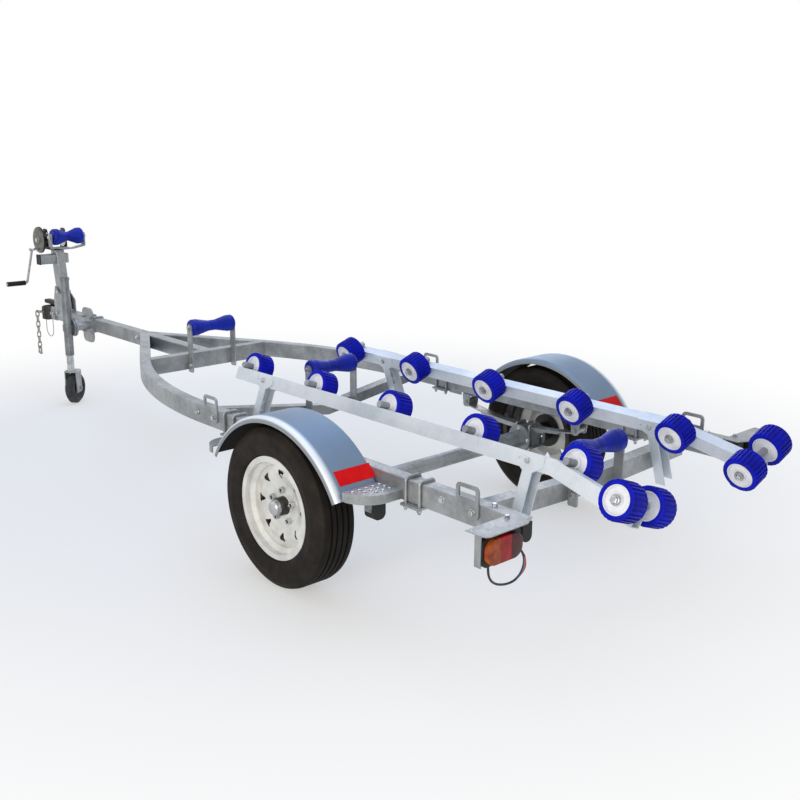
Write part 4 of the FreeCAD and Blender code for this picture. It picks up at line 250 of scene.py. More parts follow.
wheelHub = (-1.0785, 0, 0.284)  # the wheels' axis, in metres
finishes = {
    "galvanised": galvanisedSteel("hotDipGalvanised", {
        "dark": "#868A8C", "pale": "#A9ACAD", "spangleMm": 11, "spangleShow": 0.08, "cloudMm": 120, "gritMm": 2.2,
        "roughLow": 0.30, "roughHigh": 0.46, "bump": 0.16, "metallic": 0.6,
    }),
    # paler and bluer than the frame's zinc, a painted sky reflection, also used on the bunk posts
    "bunk_galvanised": galvanisedSteel("paintedSkyGalvanised", {
        "dark": "#CAD2DA", "pale": "#E2E8ED", "spangleMm": 9, "spangleShow": 0.06, "cloudMm": 220, "gritMm": 2.0,
        "roughLow": 0.42, "roughHigh": 0.58, "bump": 0.12, "metallic": 0.4,
    }),
    "bright_zinc": galvanisedSteel("brightZincPlate", {
        "dark": "#A3A6A8", "pale": "#C9CCCE", "spangleMm": 5, "spangleShow": 0.04, "cloudMm": 40, "gritMm": 1.0,
        "roughLow": 0.20, "roughHigh": 0.32, "bump": 0.06, "metallic": 0.95,
    }),
    "chain_steel": galvanisedSteel("wornChainZinc", {
        "dark": "#8A8882", "pale": "#BBB9B3", "spangleMm": 4, "spangleShow": 0.12, "cloudMm": 14, "gritMm": 1.0,
        "roughLow": 0.42, "roughHigh": 0.62, "bump": 0.30, "metallic": 0.8,
    }),
    "black_plastic": mouldedSkin("mouldedAbs", {
        "dark": "#151617", "pale": "#232425", "cloudMm": 60, "grainMm": 0.8,
        "roughLow": 0.38, "roughHigh": 0.5, "bump": 0.10, "gloss": 0.3,
    }),
    "red_lens": mouldedSkin("redAcrylic", {
        "dark": "#84080F", "pale": "#B40D19", "cloudMm": 22, "grainMm": 3.5,
        "roughLow": 0.14, "roughHigh": 0.24, "bump": 0.14, "coat": 0.1, "gloss": 0.3,
    }),
    "grip_rubber": mouldedSkin("blackVinylGrip", {
        "dark": "#111112", "pale": "#1D1D1E", "cloudMm": 40, "grainMm": 1.2,
        "roughLow": 0.42, "roughHigh": 0.56, "bump": 0.12, "gloss": 0.25,
    }),
    "black_paint": mouldedSkin("blackPowderCoat", {
        "dark": "#141415", "pale": "#242526", "cloudMm": 70, "grainMm": 0.9,
        "roughLow": 0.34, "roughHigh": 0.46, "bump": 0.16, "gloss": 0.3,
    }),
    "tyre_rubber": tyreRubber("dustyTyreRubber", {
        "dark": "#171411", "dust": "#2B2621", "worn": "#6E6A66", "sipes": 84, "sipeEdge": 0.93, "treadFrom": 0.2775,
        "hub": wheelHub, "bead": 0.166, "crown": 0.284, "cloudMm": 70, "grainMm": 1.5, "rough": 0.68, "gloss": 0.16,
        "bump": 0.6,
        "rings": (
            (0.0, 0.5), (0.10, 0.5), (0.13, 1), (0.16, 0.4), (0.34, 0.4),
            (0.36, 0.8), (0.39, 0.4), (0.66, 0.4), (0.68, 0.9), (0.71, 0.5),
        ),
    }),
    # the wheel's dark colour is painted shade behind the disc and in the vents
    "wheel_paint": wheelLacquer("silverWheelLacquer", {
        "dull": "#CFCFCA", "silver": "#EBEBE7", "darkInner": "#26231F",
        "hub": wheelHub, "discBack": 0.686, "discFace": 0.690, "discRadius": 0.138, "cloudMm": 60, "grainMm": 0.9,
        "roughLow": 0.30, "roughHigh": 0.48, "bump": 0.05, "metallic": 0.2, "coat": 0.2,
    }),
    "hub_black": mouldedSkin("blackHubPaint", {
        "dark": "#131212", "pale": "#2A2826", "cloudMm": 30, "grainMm": 1.5,
        "roughLow": 0.35, "roughHigh": 0.55, "bump": 0.2,
    }),
    "cast_dark": mouldedSkin("darkCastIron", {
        "dark": "#1E1D1C", "pale": "#3A3835", "cloudMm": 25, "grainMm": 2.2,
        "roughLow": 0.45, "roughHigh": 0.66, "bump": 0.35, "metallic": 0.3,
    }),
    "cable_black": mouldedSkin("blackCableSheath", {
        "dark": "#161616", "pale": "#242424", "cloudMm": 20, "grainMm": 1.2,
        "roughLow": 0.4, "roughHigh": 0.52, "bump": 0.08,
    }),
    "jack_rubber": mouldedSkin("scuffedGreyRubber", {
        "dark": "#1F1F20", "pale": "#404040", "cloudMm": 40, "grainMm": 1.5,
        "roughLow": 0.6, "roughHigh": 0.78, "bump": 0.2,
    }),
    "wobble_blue": mouldedSkin("blueRollerRubber", {
        "dark": "#08129A", "pale": "#0E1AC4", "cloudMm": 40, "grainMm": 1.3,
        "roughLow": 0.44, "roughHigh": 0.58, "bump": 0.12, "gloss": 0.14,
    }),
    "keel_blue": mouldedSkin("blueKeelRubber", {
        "dark": "#081C8A", "pale": "#0B28B0", "cloudMm": 50, "grainMm": 1.3,
        "roughLow": 0.36, "roughHigh": 0.5, "bump": 0.12, "gloss": 0.22,
    }),
}

whiteNylon = mouldedSkin("whiteNylonHub", {
    "dark": "#E2E4EA", "pale": "#F4F5F8", "cloudMm": 30, "grainMm": 1.0,
    "roughLow": 0.34, "roughHigh": 0.46, "bump": 0.04,
})
amberAcrylic = mouldedSkin("amberAcrylicLens", {
    "dark": "#84310A", "pale": "#B4540F", "cloudMm": 22, "grainMm": 3.5,
    "roughLow": 0.14, "roughHigh": 0.24, "bump": 0.14, "coat": 0.1, "gloss": 0.3,
})
darkRedAcrylic = mouldedSkin("darkRedAcrylicLens", {
    "dark": "#38050A", "pale": "#600A11", "cloudMm": 22, "grainMm": 3.5,
    "roughLow": 0.14, "roughHigh": 0.24, "bump": 0.14, "coat": 0.1, "gloss": 0.3,
})
redReflector = mouldedSkin("redReflectiveTape", {
    "dark": "#DE0A10", "pale": "#F2141A", "cloudMm": 60, "grainMm": 3.0,
    "roughLow": 0.3, "roughHigh": 0.42, "bump": 0.06, "gloss": 0.12,
})
smokedWindow = mouldedSkin("smokedAcrylicWindow", {
    "dark": "#4C5152", "pale": "#7C8382", "cloudMm": 14, "grainMm": 2.0,
    "roughLow": 0.12, "roughHigh": 0.24, "bump": 0.08, "coat": 0.5,
})
wireSheaths = {
    colour: mouldedSkin(colour + "WireSheath", {
        "dark": dark, "pale": pale, "cloudMm": 8, "grainMm": 1.0, "roughLow": 0.35, "roughHigh": 0.45, "bump": 0.04,
    })
    for colour, dark, pale in (
        ("blue", "#1C4C8C", "#2B66AE"), ("orange", "#CF7420", "#E39239"), ("red", "#B01A1E", "#D13434"),
    )
}
wornGearCover = galvanisedSteel("wornGearCoverSteel", {
    "dark": "#57544F", "pale": "#827E77", "spangleMm": 5, "spangleShow": 0.06, "cloudMm": 40, "gritMm": 1.2,
    "roughLow": 0.34, "roughHigh": 0.5, "bump": 0.12, "metallic": 0.7,
})
# the crown's blue is a painted sky reflection, the edge colour a painted highlight and the lip colour painted shade
guardZinc = rolledSheet("rolledGuardZinc", {
    "dark": "#6A8099", "pale": "#7E93A9", "edge": "#E6ECF0", "lip": "#8E9499", "darkInner": "#171613", "cloudMm": 300,
    "gritMm": 5, "edgeFrom": 0.744, "edgeTo": 0.760, "lipFrom": 0.80, "lipTo": 0.97, "crown": (-1.1085, 0, 0.212),
    "rough": 0.46, "innerRough": 0.85, "bump": 0.03, "metallic": 0.4,
})
jackZinc = galvanisedSteel("dullJackZinc", {
    "dark": "#717476", "pale": "#8E9193", "spangleMm": 6, "spangleShow": 0.05, "cloudMm": 60, "gritMm": 1.6,
    "roughLow": 0.34, "roughHigh": 0.48, "bump": 0.12, "metallic": 0.65,
})

ownFinish = {"jack_tube": jackZinc, "mudguards": guardZinc, "bunk_posts": finishes["bunk_galvanised"]}
slotOf = {entry["node"]: entry["material_slot"] for entry in frame["record"]["subparts"]}
for nodeName, cadObject in cadNodes.items():
    cadObject.data.materials.clear()
    cadObject.data.materials.append(ownFinish.get(nodeName, finishes[slotOf[nodeName]]))
print("finishes on", len(cadNodes), "nodes")

studio = {
    "floorSize": 60.0,
    "floorBelow": 0.0005,  # a hair under the tyres, so that the two faces don't fight
    "floorColour": "#F6F4EF",
    "glow": 0.45,  # share of plain white under the trailer itself, so that its shadow stays light
    "fadeFrom": 1.2,  # metres from the trailer's middle where the floor starts to turn into plain white
    "fadeTo": 3.6,
    "skyColour": "#E8EEF5",
    "skyStrength": 0.5,
}
plainWhite = {"Color": (1, 1, 1, 1), "Strength": 1.0}

bpy.ops.object.select_all(action="DESELECT")
bpy.ops.mesh.primitive_plane_add(size=studio["floorSize"], location=(0, 0, -studio["floorBelow"]))
floor = bpy.context.object
floor.name = "studioFloor"
floorPaint, tree = newMaterial("paleStudioFloor")
place = addNode(tree, "ShaderNodeTexCoord").outputs["Object"]
fade = addNode(tree, "ShaderNodeMapRange", {
    "interpolation_type": "SMOOTHSTEP", "From Min": studio["fadeFrom"], "From Max": studio["fadeTo"],
    "To Min": studio["glow"], "Value": vectorOf(tree, "LENGTH", place, result="Value"),
})
rays = addNode(tree, "ShaderNodeLightPath").outputs
seen = mathOf(tree, "MAXIMUM", rays["Is Camera Ray"], rays["Is Glossy Ray"])
matt = addNode(tree, "ShaderNodeBsdfDiffuse", {"Color": hexColour(studio["floorColour"])})
white = addNode(tree, "ShaderNodeEmission", plainWhite)
finishMaterial(tree, addNode(tree, "ShaderNodeMixShader", {
    0: mathOf(tree, "MULTIPLY", fade.outputs["Result"], seen), 1: matt.outputs[0], 2: white.outputs[0],
}))
floor.data.materials.append(floorPaint)

world = bpy.data.worlds.new("studioSky")
bpy.context.scene.world = world
world.use_nodes = True
tree = world.node_tree
tree.nodes.clear()
rays = addNode(tree, "ShaderNodeLightPath").outputs
seen = mathOf(tree, "MAXIMUM", rays["Is Camera Ray"], rays["Is Transmission Ray"])
soft = {"Color": hexColour(studio["skyColour"]), "Strength": studio["skyStrength"]}
sky = addNode(tree, "ShaderNodeMixShader", {
    0: mathOf(tree, "MAXIMUM", seen, rays["Is Glossy Ray"]),
    1: addNode(tree, "ShaderNodeBackground", soft).outputs[0],
    2: addNode(tree, "ShaderNodeBackground", plainWhite).outputs[0],
})
addNode(tree, "ShaderNodeOutputWorld", {"Surface": sky.outputs[0]})

# name, place, aimed at, size in metres, watts, colour
softboxes = [
    ("skyBox", (0.6, -0.4, 4.6), (0.0, 0.0, 0.3), 4.5, 95, "#A9C6FB"),
    ("cameraFill", (-3.4, 4.6, 1.9), (0.2, 0.2, 0.4), 2.6, 120, "#FFF6EA"),
    ("farRim", (2.8, -4.2, 2.6), (0.0, 0.0, 0.4), 2.4, 28, "#F4F7FF"),
]
for name, spot, aim, size, watts, colour in softboxes:
    lamp = bpy.data.lights.new(name, "AREA")
    lamp.shape = "SQUARE"
    lamp.size = size
    lamp.energy = watts
    lamp.color = hexColour(colour)[:3]
    holder = bpy.data.objects.new(name, lamp)
    bpy.context.scene.collection.objects.link(holder)
    holder.location = spot
    holder.rotation_euler = (Vector(aim) - Vector(spot)).to_track_quat("-Z", "Y").to_euler()

viewpoint = {"place": (-3.8336, 2.6899, 1.5396), "yaw": -42.53, "down": 14.62, "roll": 0.33, "lens": 47.13}
eye = bpy.data.objects.new("photoCamera", bpy.data.cameras.new("photoCamera"))
bpy.context.scene.collection.objects.link(eye)
eye.data.lens = viewpoint["lens"]
eye.data.sensor_width = 36
eye.data.clip_end = 200
eye.location = viewpoint["place"]
heading = Matrix.Rotation(math.radians(viewpoint["yaw"] - 90), 3, "Z")
tilt = Matrix.Rotation(math.radians(90 - viewpoint["down"]), 3, "X")
roll = Matrix.Rotation(math.radians(viewpoint["roll"]), 3, "Z")
eye.rotation_euler = (heading @ tilt @ roll).to_euler()
bpy.context.scene.camera = eye
bpy.context.scene.view_settings.view_transform = "Standard"
print("floor, light and camera are set")

axleAhead = -1078.5  # the axle's place in the row frame, in millimetres
outLeft, outRight, up, down, ahead, back = (0, 1, 0), (0, -1, 0), (0, 0, 1), (0, 0, -1), (1, 0, 0), (-1, 0, 0)


def fromAxle(forward, left, high):
    # a place measured in millimetres from the axle, the centre line and the ground, as the metres that Blender takes
    return Vector((forward + axleAhead, left, high)) / 1000


def facing(place, direction, spin=0.0):
    # carries a piece modelled along +Z to its place, looking in that direction
    turned = Vector(direction).to_track_quat("Z", "Y").to_matrix().to_4x4()
    return Matrix.Translation(place) @ turned @ Matrix.Rotation(spin, 4, "Z")


def startClean():
    if bpy.context.mode != "OBJECT":
        bpy.ops.object.mode_set(mode="OBJECT")
    bpy.ops.object.select_all(action="DESELECT")


def settle(piece):
    # moves a piece's place into its mesh, so that its object sits at the origin
    bpy.context.view_layer.update()
    piece.data.transform(piece.matrix_world)
    piece.matrix_world = Matrix.Identity(4)


def enterEdit(kind="FACE"):
    settle(bpy.context.object)
    bpy.ops.object.mode_set(mode="EDIT")
    bpy.ops.mesh.select_mode(type=kind)


def startBox(size, middle=(0, 0, 0), kind="FACE"):
    startClean()
    bpy.ops.mesh.primitive_cube_add(size=1, location=middle)
    bpy.context.object.scale = size
    enterEdit(kind)


def startRound(corners, radius, long, base=0.0, kind="FACE"):
    # a blank with that many corners, standing on a level
    startClean()
    bpy.ops.mesh.primitive_cylinder_add(vertices=corners, radius=radius, depth=long, location=(0, 0, base + long / 2))
    enterEdit(kind)


def pickFaces(test):
    bpy.ops.mesh.select_mode(type="FACE")
    mesh = bmesh.from_edit_mesh(bpy.context.object.data)
    for face in mesh.faces:
        face.select_set(bool(test(face.calc_center_median(), face.normal)))
    bmesh.update_edit_mesh(bpy.context.object.data)


def pickSide(direction):
    # the faces that look that way
    pickFaces(lambda middle, normal: normal.dot(Vector(direction)) > 0.9)


def pickEdges(test):
    bpy.ops.mesh.select_mode(type="EDGE")
    bpy.ops.mesh.select_all(action="DESELECT")
    mesh = bmesh.from_edit_mesh(bpy.context.object.data)
    for edge in mesh.edges:
        edge.select_set(bool(test(edge.verts[0].co, edge.verts[1].co)))
    bmesh.update_edit_mesh(bpy.context.object.data)


def pressIn(border, rise=0.0, way=up):
    # insets the picked faces and lifts or sinks what is within the border
    bpy.ops.mesh.inset(thickness=border)
    if rise:
        bpy.ops.transform.translate(value=Vector(way) * rise)


def pushFaces(distance, shrink=1.0, centre=(0, 0, 0)):
    # pushes the picked faces out along Z and narrows them on the way
    bpy.ops.mesh.extrude_region_move(TRANSFORM_OT_translate={"value": (0, 0, distance)})
    if shrink != 1.0:
        bpy.ops.transform.resize(value=(shrink, shrink, 1), center_override=centre)


def leaveEdit(angle=25, name=None):
    bpy.ops.mesh.select_all(action="SELECT")
    bpy.ops.mesh.normals_make_consistent(inside=False)
    bpy.ops.object.mode_set(mode="OBJECT")
    bpy.ops.object.shade_smooth_by_angle(angle=math.radians(angle))
    if name:
        bpy.context.object.name = name
    return bpy.context.object


def copyTo(master, name, carry):
    piece = master.copy()
    piece.data = master.data.copy()
    piece.data.transform(carry)
    piece.name = name
    bpy.context.scene.collection.objects.link(piece)
    return piece


def mirrorTo(master, name):
    piece = copyTo(master, name, Matrix.Scale(-1, 4, Vector(outLeft)))
    piece.data.flip_normals()
    return piece


def joinAll(pieces, name):
    startClean()
    for piece in pieces:
        piece.select_set(True)
    bpy.context.view_layer.objects.active = pieces[0]
    if len(pieces) > 1:
        bpy.ops.object.join()
    joined = bpy.context.object
    joined.name = name
    return joined


def keepPiece(piece, body, finish, stands=()):
    piece.data.name = piece.name
    piece.data.materials.clear()
    piece.data.materials.append(finish)
    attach(piece, body)
    if stands:
        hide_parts(*stands)


def discard(*masters):
    for master in masters:
        bpy.data.objects.remove(master)


def softLine(name, places, look, finish):
    # a cord as one smooth curve between its corner points
    line = bpy.data.curves.new(name, "CURVE")
    line.dimensions = "3D"
    line.bevel_depth = look["diameter"] / 2
    line.bevel_resolution = look["roundness"]
    line.resolution_u = look["fineness"]
    line.use_fill_caps = True
    spline = line.splines.new("NURBS")
    spline.points.add(len(places) - 1)
    for knot, place in zip(spline.points, places):
        knot.co = (*place, 1.0)
    spline.order_u = 3
    spline.use_endpoint_u = True
    cord = bpy.data.objects.new(name, line)
    bpy.context.scene.collection.objects.link(cord)
    line.materials.append(finish)
    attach(cord, "frame")
    return cord


# Lamp cables: one soft curve from the lamp case to the small lamp on the rail, with three coloured wires beside it
lampCable = {
    "diameter": 0.007, "roundness": 3, "fineness": 10,
    "route": (
        (-972, 726, 386.7), (-972, 726, 363), (-970, 713, 338), (-967, 689, 319), (-964, 659, 307), (-961, 627, 300),
        (-958, 595, 300), (-954, 567, 311), (-950, 549, 334), (-947, 549, 362), (-945, 567, 385), (-945, 567, 411.7),
    ),
}
colouredWires = {
    "diameter": 0.0032, "roundness": 2, "fineness": 8,
    "corners": (6, 7, 8, 9),  # the corners of the cable's route that the wires follow
    "swells": (0.25, 1.0, 1.0, 0.25),  # how far they stand off at each of those
    "backwards": 5.0, "inwards": 0.9, "upwards": 0.5,
    "shifts": {"blue": -4.8, "orange": 0.6, "red": 5.8},
}
for word, side in sides:
    route = [fromAxle(forward, side * left, high) for forward, left, high in lampCable["route"]]
    cable = softLine("lampCable_" + word, route, lampCable, finishes["cable_black"])
    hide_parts("lamp_cable_" + word)
    look = colouredWires
    for colour, shift in look["shifts"].items():
        places = []
        for corner, swell in zip(look["corners"], look["swells"]):
            forward, left, high = lampCable["route"][corner]
            places.append(fromAxle(
                forward - look["backwards"] * swell, side * (left - look["inwards"] * shift * swell),
                high + look["upwards"] * abs(shift) * swell,
            ))
        name = f"{colour}Wire_{word}"
        softLine(name, places, look, wireSheaths[colour])
print("lamp cables hang")

# Wobble rollers: ribbed rubber treads with a dish at each end
wobbleRoller = {
    "radius": 0.0598, "wide": 0.070, "ribs": 26, "shoulder": 0.0046, "shoulderSteps": 3,
    "grooveRound": 0.0007, "grooveDeep": 0.0034, "grooveFrom": 0.052, "dishRadius": 0.0440, "dishDeep": 0.0135,
}
look = wobbleRoller
half = look["wide"] / 2
startRound(2 * look["ribs"], look["radius"], look["wide"], -half)
pickFaces(lambda middle, normal: abs(normal.z) > 0.9)
pressIn(look["radius"] - look["dishRadius"])
for side in (1, -1):
    pickFaces(lambda middle, normal: normal.z * side > 0.9 and middle.xy.length < 0.001)
    pushFaces(-side * look["dishDeep"])
rimOnly = look["radius"] - 1e-4
pickEdges(lambda a, b: min(a.xy.length, b.xy.length) > rimOnly and a.z * b.z > 0 and abs(a.z - b.z) < 1e-5)
bpy.ops.mesh.bevel(offset=look["shoulder"], segments=look["shoulderSteps"])


def isGroove(middle, normal):
    sector = math.floor(math.degrees(math.atan2(middle.y, middle.x)) / (180 / wobbleRoller["ribs"]))
    return middle.xy.length > wobbleRoller["grooveFrom"] and abs(normal.z) < 0.93 and sector % 2 == 0


pickFaces(isGroove)
pressIn(look["grooveRound"])
bpy.ops.transform.shrink_fatten(value=-look["grooveDeep"])
treadMaster = leaveEdit(40)

# their hubs: white moulded bowls with a boss round the pin
whiteHub = {
    "play": 0.0003, "short": 0.0008, "border": 0.0022, "floorThick": 0.0035, "floorShrink": 0.93,
    "bowl": 0.0190, "bossShort": 0.0045, "bossShrink": 0.9, "collar": 0.003, "collarHigh": 0.0006,
}
deep = look["dishDeep"]
look = whiteHub
floorAt = half - deep
startRound(48, wobbleRoller["dishRadius"] - look["play"], deep - look["short"], floorAt + look["play"])
pickSide(up)
pressIn(look["border"])
pushFaces(look["floorThick"] - deep, look["floorShrink"], (0, 0, floorAt))
pressIn(look["bowl"])
pushFaces(deep - look["bossShort"], look["bossShrink"], (0, 0, half))
pressIn(look["collar"])
pushFaces(look["collarHigh"])
nearBowl = leaveEdit(30)
hubMaster = joinAll([nearBowl, copyTo(nearBowl, "farBowl", Matrix.Rotation(math.pi, 4, "X"))], "hubMaster")

rollerStations = []
for body, joint in joints.items():
    if body.startswith(("roller_left", "roller_right")):
        rollerStations.append((body, Vector(joint["pos_m"]), Vector(joint["axis"]), body))
pairOffsets = (0.055, -0.101)  # from the bunk's outer top edge along the pin, outwards and inwards
for word, side in sides:
    body = "roller_pair_" + word
    axis = Vector(joints[body]["axis"])
    for index, offset in enumerate(pairOffsets, start=1):
        rollerStations.append((body, Vector(joints[body]["pos_m"]) + axis * offset * side, axis, f"{body}_{index}"))
for body, place, axis, label in rollerStations:
    carry = facing(place, axis)
    keepPiece(copyTo(treadMaster, "tread_" + label, carry), body, finishes["wobble_blue"], (body,))
    keepPiece(copyTo(hubMaster, "whiteHub_" + label, carry), body, whiteNylon)
discard(treadMaster, hubMaster)
print("wobble rollers", len(rollerStations))

# Fixings: a washer under a chamfered hexagon head, and a plain nut with its rod's end
bolt = {
    "washerRadius": 0.0105, "washerThick": 0.0018, "washerBorder": 0.0009, "washerRise": 0.0004,
    "headRadius": 0.0088, "headHigh": 0.0062, "headBorder": 0.0014, "headRise": 0.0009,
}
startRound(24, bolt["washerRadius"], bolt["washerThick"])
pickSide(up)
pressIn(bolt["washerBorder"], bolt["washerRise"])
washer = leaveEdit()
startRound(6, bolt["headRadius"], bolt["headHigh"], bolt["washerThick"])
pickSide(up)
pressIn(bolt["headBorder"], bolt["headRise"])
boltMaster = joinAll([washer, leaveEdit()], "boltMaster")


def makeNut(radius, high, chamfer, rise, border, rodEnd):
    startRound(6, radius, high)
    pickSide(up)
    pressIn(chamfer, rise)
    pressIn(border)
    pushFaces(rodEnd)
    return leaveEdit()


nutMaster = makeNut(0.0086, 0.0080, 0.0012, 0.0008, 0.0024, 0.0050)


def fitAll(name, spots, master=boltMaster, body="frame"):
    # one mesh of copies, each at its place, looking outwards, as large as its last number says
    copies = []
    for index, (place, direction, size) in enumerate(spots):
        carry = facing(place, direction, 0.4 * index) @ Matrix.Scale(size, 4)
        copies.append(copyTo(master, f"{name}_{index}", carry))
    keepPiece(joinAll(copies, name), body, finishes["bright_zinc"])


def bothSides(spots):
    mirrored = [(Vector((p.x, -p.y, p.z)), (d[0], -d[1], d[2]), size) for p, d, size in spots]
    return spots + mirrored


bunkEdge = {"left": 329, "high": 580, "lean": math.radians(20)}  # the bunk's outer top edge, leaning to the keel
leanOut, leanUp = math.cos(bunkEdge["lean"]), math.sin(bunkEdge["lean"])
outward, inward = (0, leanOut, leanUp), (0, -leanOut, -leanUp)


def onBunk(forward, out, high):
    # a place by the left bunk, measured from that edge outwards and upwards, in millimetres
    left, level = out * leanOut - high * leanUp, out * leanUp + high * leanOut
    return fromAxle(forward, bunkEdge["left"] + left, bunkEdge["high"] + level)


bunkPosts, loopSpots = (625, -762), (612, -762)
railBolts = [(fromAxle(forward, 588.3, high), outLeft, 1.15) for forward, high in ((-653, 456), (713, 450))]
railBolts += [(fromAxle(2205, 30.2, 452), outLeft, 1.2)]
railBolts += [(fromAxle(-842, 562, 482.2), up, 1.0), (fromAxle(-928, 604, 482.2), up, 0.9)]
railBolts += [(fromAxle(spot - 22, 594.1, 452), outLeft, 1.15) for spot in loopSpots]
fitAll("railBolts", bothSides(railBolts))

postBolts = []
for face in bunkPosts:
    postBolts += [(onBunk(face - 12, 4.4, -26), outward, 1.0), (onBunk(face - 12, -45.4, -26), inward, 1.0)]
    postBolts += [(onBunk(face - 4.2, -20.5, high), back, 1.1) for high in (-112, -146)]
fitAll("bunkPostBolts", bothSides(postBolts))

keelBolts = []
for face, high, low in ((1545, 610, 430), (625, 566, 385), (-762, 535, 395)):
    keelBolts += [(fromAxle(face - 19.3, 123.2, level), outLeft, size) for level, size in ((high, 1.15), (low, 1.0))]
fitAll("keelBolts", bothSides(keelBolts))

flangeBolts = []
for level, way in ((512, outRight), (520, outLeft), (606, outRight), (614, outLeft)):
    for forward, high in ((44, 0), (-44, 0), (0, 44), (0, -44)):
        flangeBolts.append((fromAxle(forward, level, 284 + high), way, 0.85))
fitAll("axleFlangeBolts", bothSides(flangeBolts))

rodNuts = [(fromAxle(forward, left, 398.5), down, 0.95) for forward in (517, 455, -499, -561) for left in (532, 594)]
rodNuts += [(fromAxle(forward, left, 244.5), down, 0.9) for forward in (35, -35) for left in (532.5, 593.5)]
fitAll("rodNuts", bothSides(rodNuts), nutMaster)

clampSpots = [(forward, high) for forward in (2718, 2802) for high in (488, 406)]
plateSpots, headSpots = ((3128, 585), (3075, 462), (3150, 462)), ((3203, 447), (3228, 447))
noseNuts = [(fromAxle(forward, 38.6, high), outLeft, 0.95) for forward, high in clampSpots]
noseNuts += [(fromAxle(forward, 35.5, high), outLeft, 1.0) for forward, high in plateSpots]
noseNuts += [(fromAxle(forward, 35.4, high), outLeft, 1.1) for forward, high in headSpots]
fitAll("noseNuts", noseNuts)
noseBolts = [(fromAxle(forward, -35.5, high), outRight, 1.0) for forward, high in plateSpots]
noseBolts += [(fromAxle(forward, -35.4, high), outRight, 1.1) for forward, high in headSpots]
fitAll("noseBolts", noseBolts)

pinEnd = {"reach": 0.0389, "size": 1.28}  # from a roller's middle to its end, where the pin's head sits
pinNuts = []
for body, place, axis, label in rollerStations:
    side = 1 if place.y > 0 else -1
    outer = body.startswith("roller_pair") and label.endswith("_1")
    way = axis * (side if outer else -side)
    pinNuts.append((place + way * pinEnd["reach"], way, pinEnd["size"]))
fitAll("pinNuts", pinNuts)
print("fixings are on")

# Wheels: bright dust caps on the hubs and tapered hexagon nuts
dustCap = {
    "radius": 0.0272, "long": 0.030, "round": 0.011, "roundSteps": 6, "border": 0.006, "rise": 0.0012, "out": 0.038,
}
wheelNuts = {"count": 5, "circle": 0.05715, "out": 0.0172, "first": 90}
startRound(48, dustCap["radius"], dustCap["long"], kind="EDGE")
pickEdges(lambda a, b: min(a.z, b.z) > dustCap["long"] - 1e-4)
bpy.ops.mesh.bevel(offset=dustCap["round"], segments=dustCap["roundSteps"])
pickFaces(lambda middle, normal: normal.z > 0.999)
pressIn(dustCap["border"], dustCap["rise"])
capMaster = leaveEdit(30)
wheelNut = makeNut(0.0121, 0.0142, 0.0020, 0.0012, 0.0038, 0.0050)
for word, side in sides:
    body, way = "wheel_" + word, (0, side, 0)
    centre = Vector(joints[body]["pos_m"])
    cap = copyTo(capMaster, "dustCap_" + word, facing(centre + Vector(way) * dustCap["out"], way))
    keepPiece(cap, body, finishes["bright_zinc"])
    nutSpots = []
    for index in range(wheelNuts["count"]):
        angle = math.radians(360 / wheelNuts["count"] * index + wheelNuts["first"])
        ring = Vector((math.cos(angle), 0, math.sin(angle))) * wheelNuts["circle"]
        nutSpots.append((centre + ring + Vector(way) * wheelNuts["out"], way, 1.0))
    fitAll("wheelNuts_" + word, nutSpots, wheelNut, body)
discard(capMaster, wheelNut)

# Lamps: a round-ended lens in three colours
lampLens = {
    "rear": -994.9, "front": -980.7, "inner": 608.7, "outer": 752.7, "low": 391, "high": 467,
    "endRound": 0.034, "endSteps": 9, "edgeRound": 0.004, "edgeSteps": 3, "amberFrom": 702, "redFrom": 658,
}
look = lampLens
spans = (("rear", "front"), ("inner", "outer"), ("low", "high"))
middleSpot = fromAxle(*[(look[start] + look[end]) / 2 for start, end in spans])
startBox([(look[end] - look[start]) / 1000 for start, end in spans], middleSpot, "EDGE")
pickEdges(lambda a, b: abs(a.x - b.x) > 0.005)
bpy.ops.mesh.bevel(offset=look["endRound"], segments=look["endSteps"])
rearMost = fromAxle(look["rear"], 0, 0).x
pickEdges(lambda a, b: max(a.x, b.x) < rearMost + 1e-4)
bpy.ops.mesh.bevel(offset=look["edgeRound"], segments=look["edgeSteps"])
for cut in (look["amberFrom"], look["redFrom"]):
    bpy.ops.mesh.select_all(action="SELECT")
    bpy.ops.mesh.bisect(plane_co=fromAxle(0, cut, 0), plane_no=outLeft)
lensLeft = leaveEdit(30, "lampLens_left")
for lens in (lensLeft, mirrorTo(lensLeft, "lampLens_right")):
    keepPiece(lens, "frame", amberAcrylic, ("lamp_lenses",))
    lens.data.materials.append(finishes["red_lens"])
    lens.data.materials.append(darkRedAcrylic)
    for face in lens.data.polygons:
        across = abs(face.center.y) * 1000
        face.material_index = 0 if across > look["amberFrom"] else 1 if across > look["redFrom"] else 2

# side markers: a small smoked window on each
markerWindow = {"size": (0.030, 0.004, 0.040), "border": 0.004, "sunk": 0.0012}
startBox(markerWindow["size"], fromAxle(-430, 686.5, 398))
pickSide(outLeft)
pressIn(markerWindow["border"], -markerWindow["sunk"], outLeft)
windowLeft = leaveEdit(name="markerWindow_left")
for window in (windowLeft, mirrorTo(windowLeft, "markerWindow_right")):
    keepPiece(window, "frame", smokedWindow)
print("lamps are dressed")

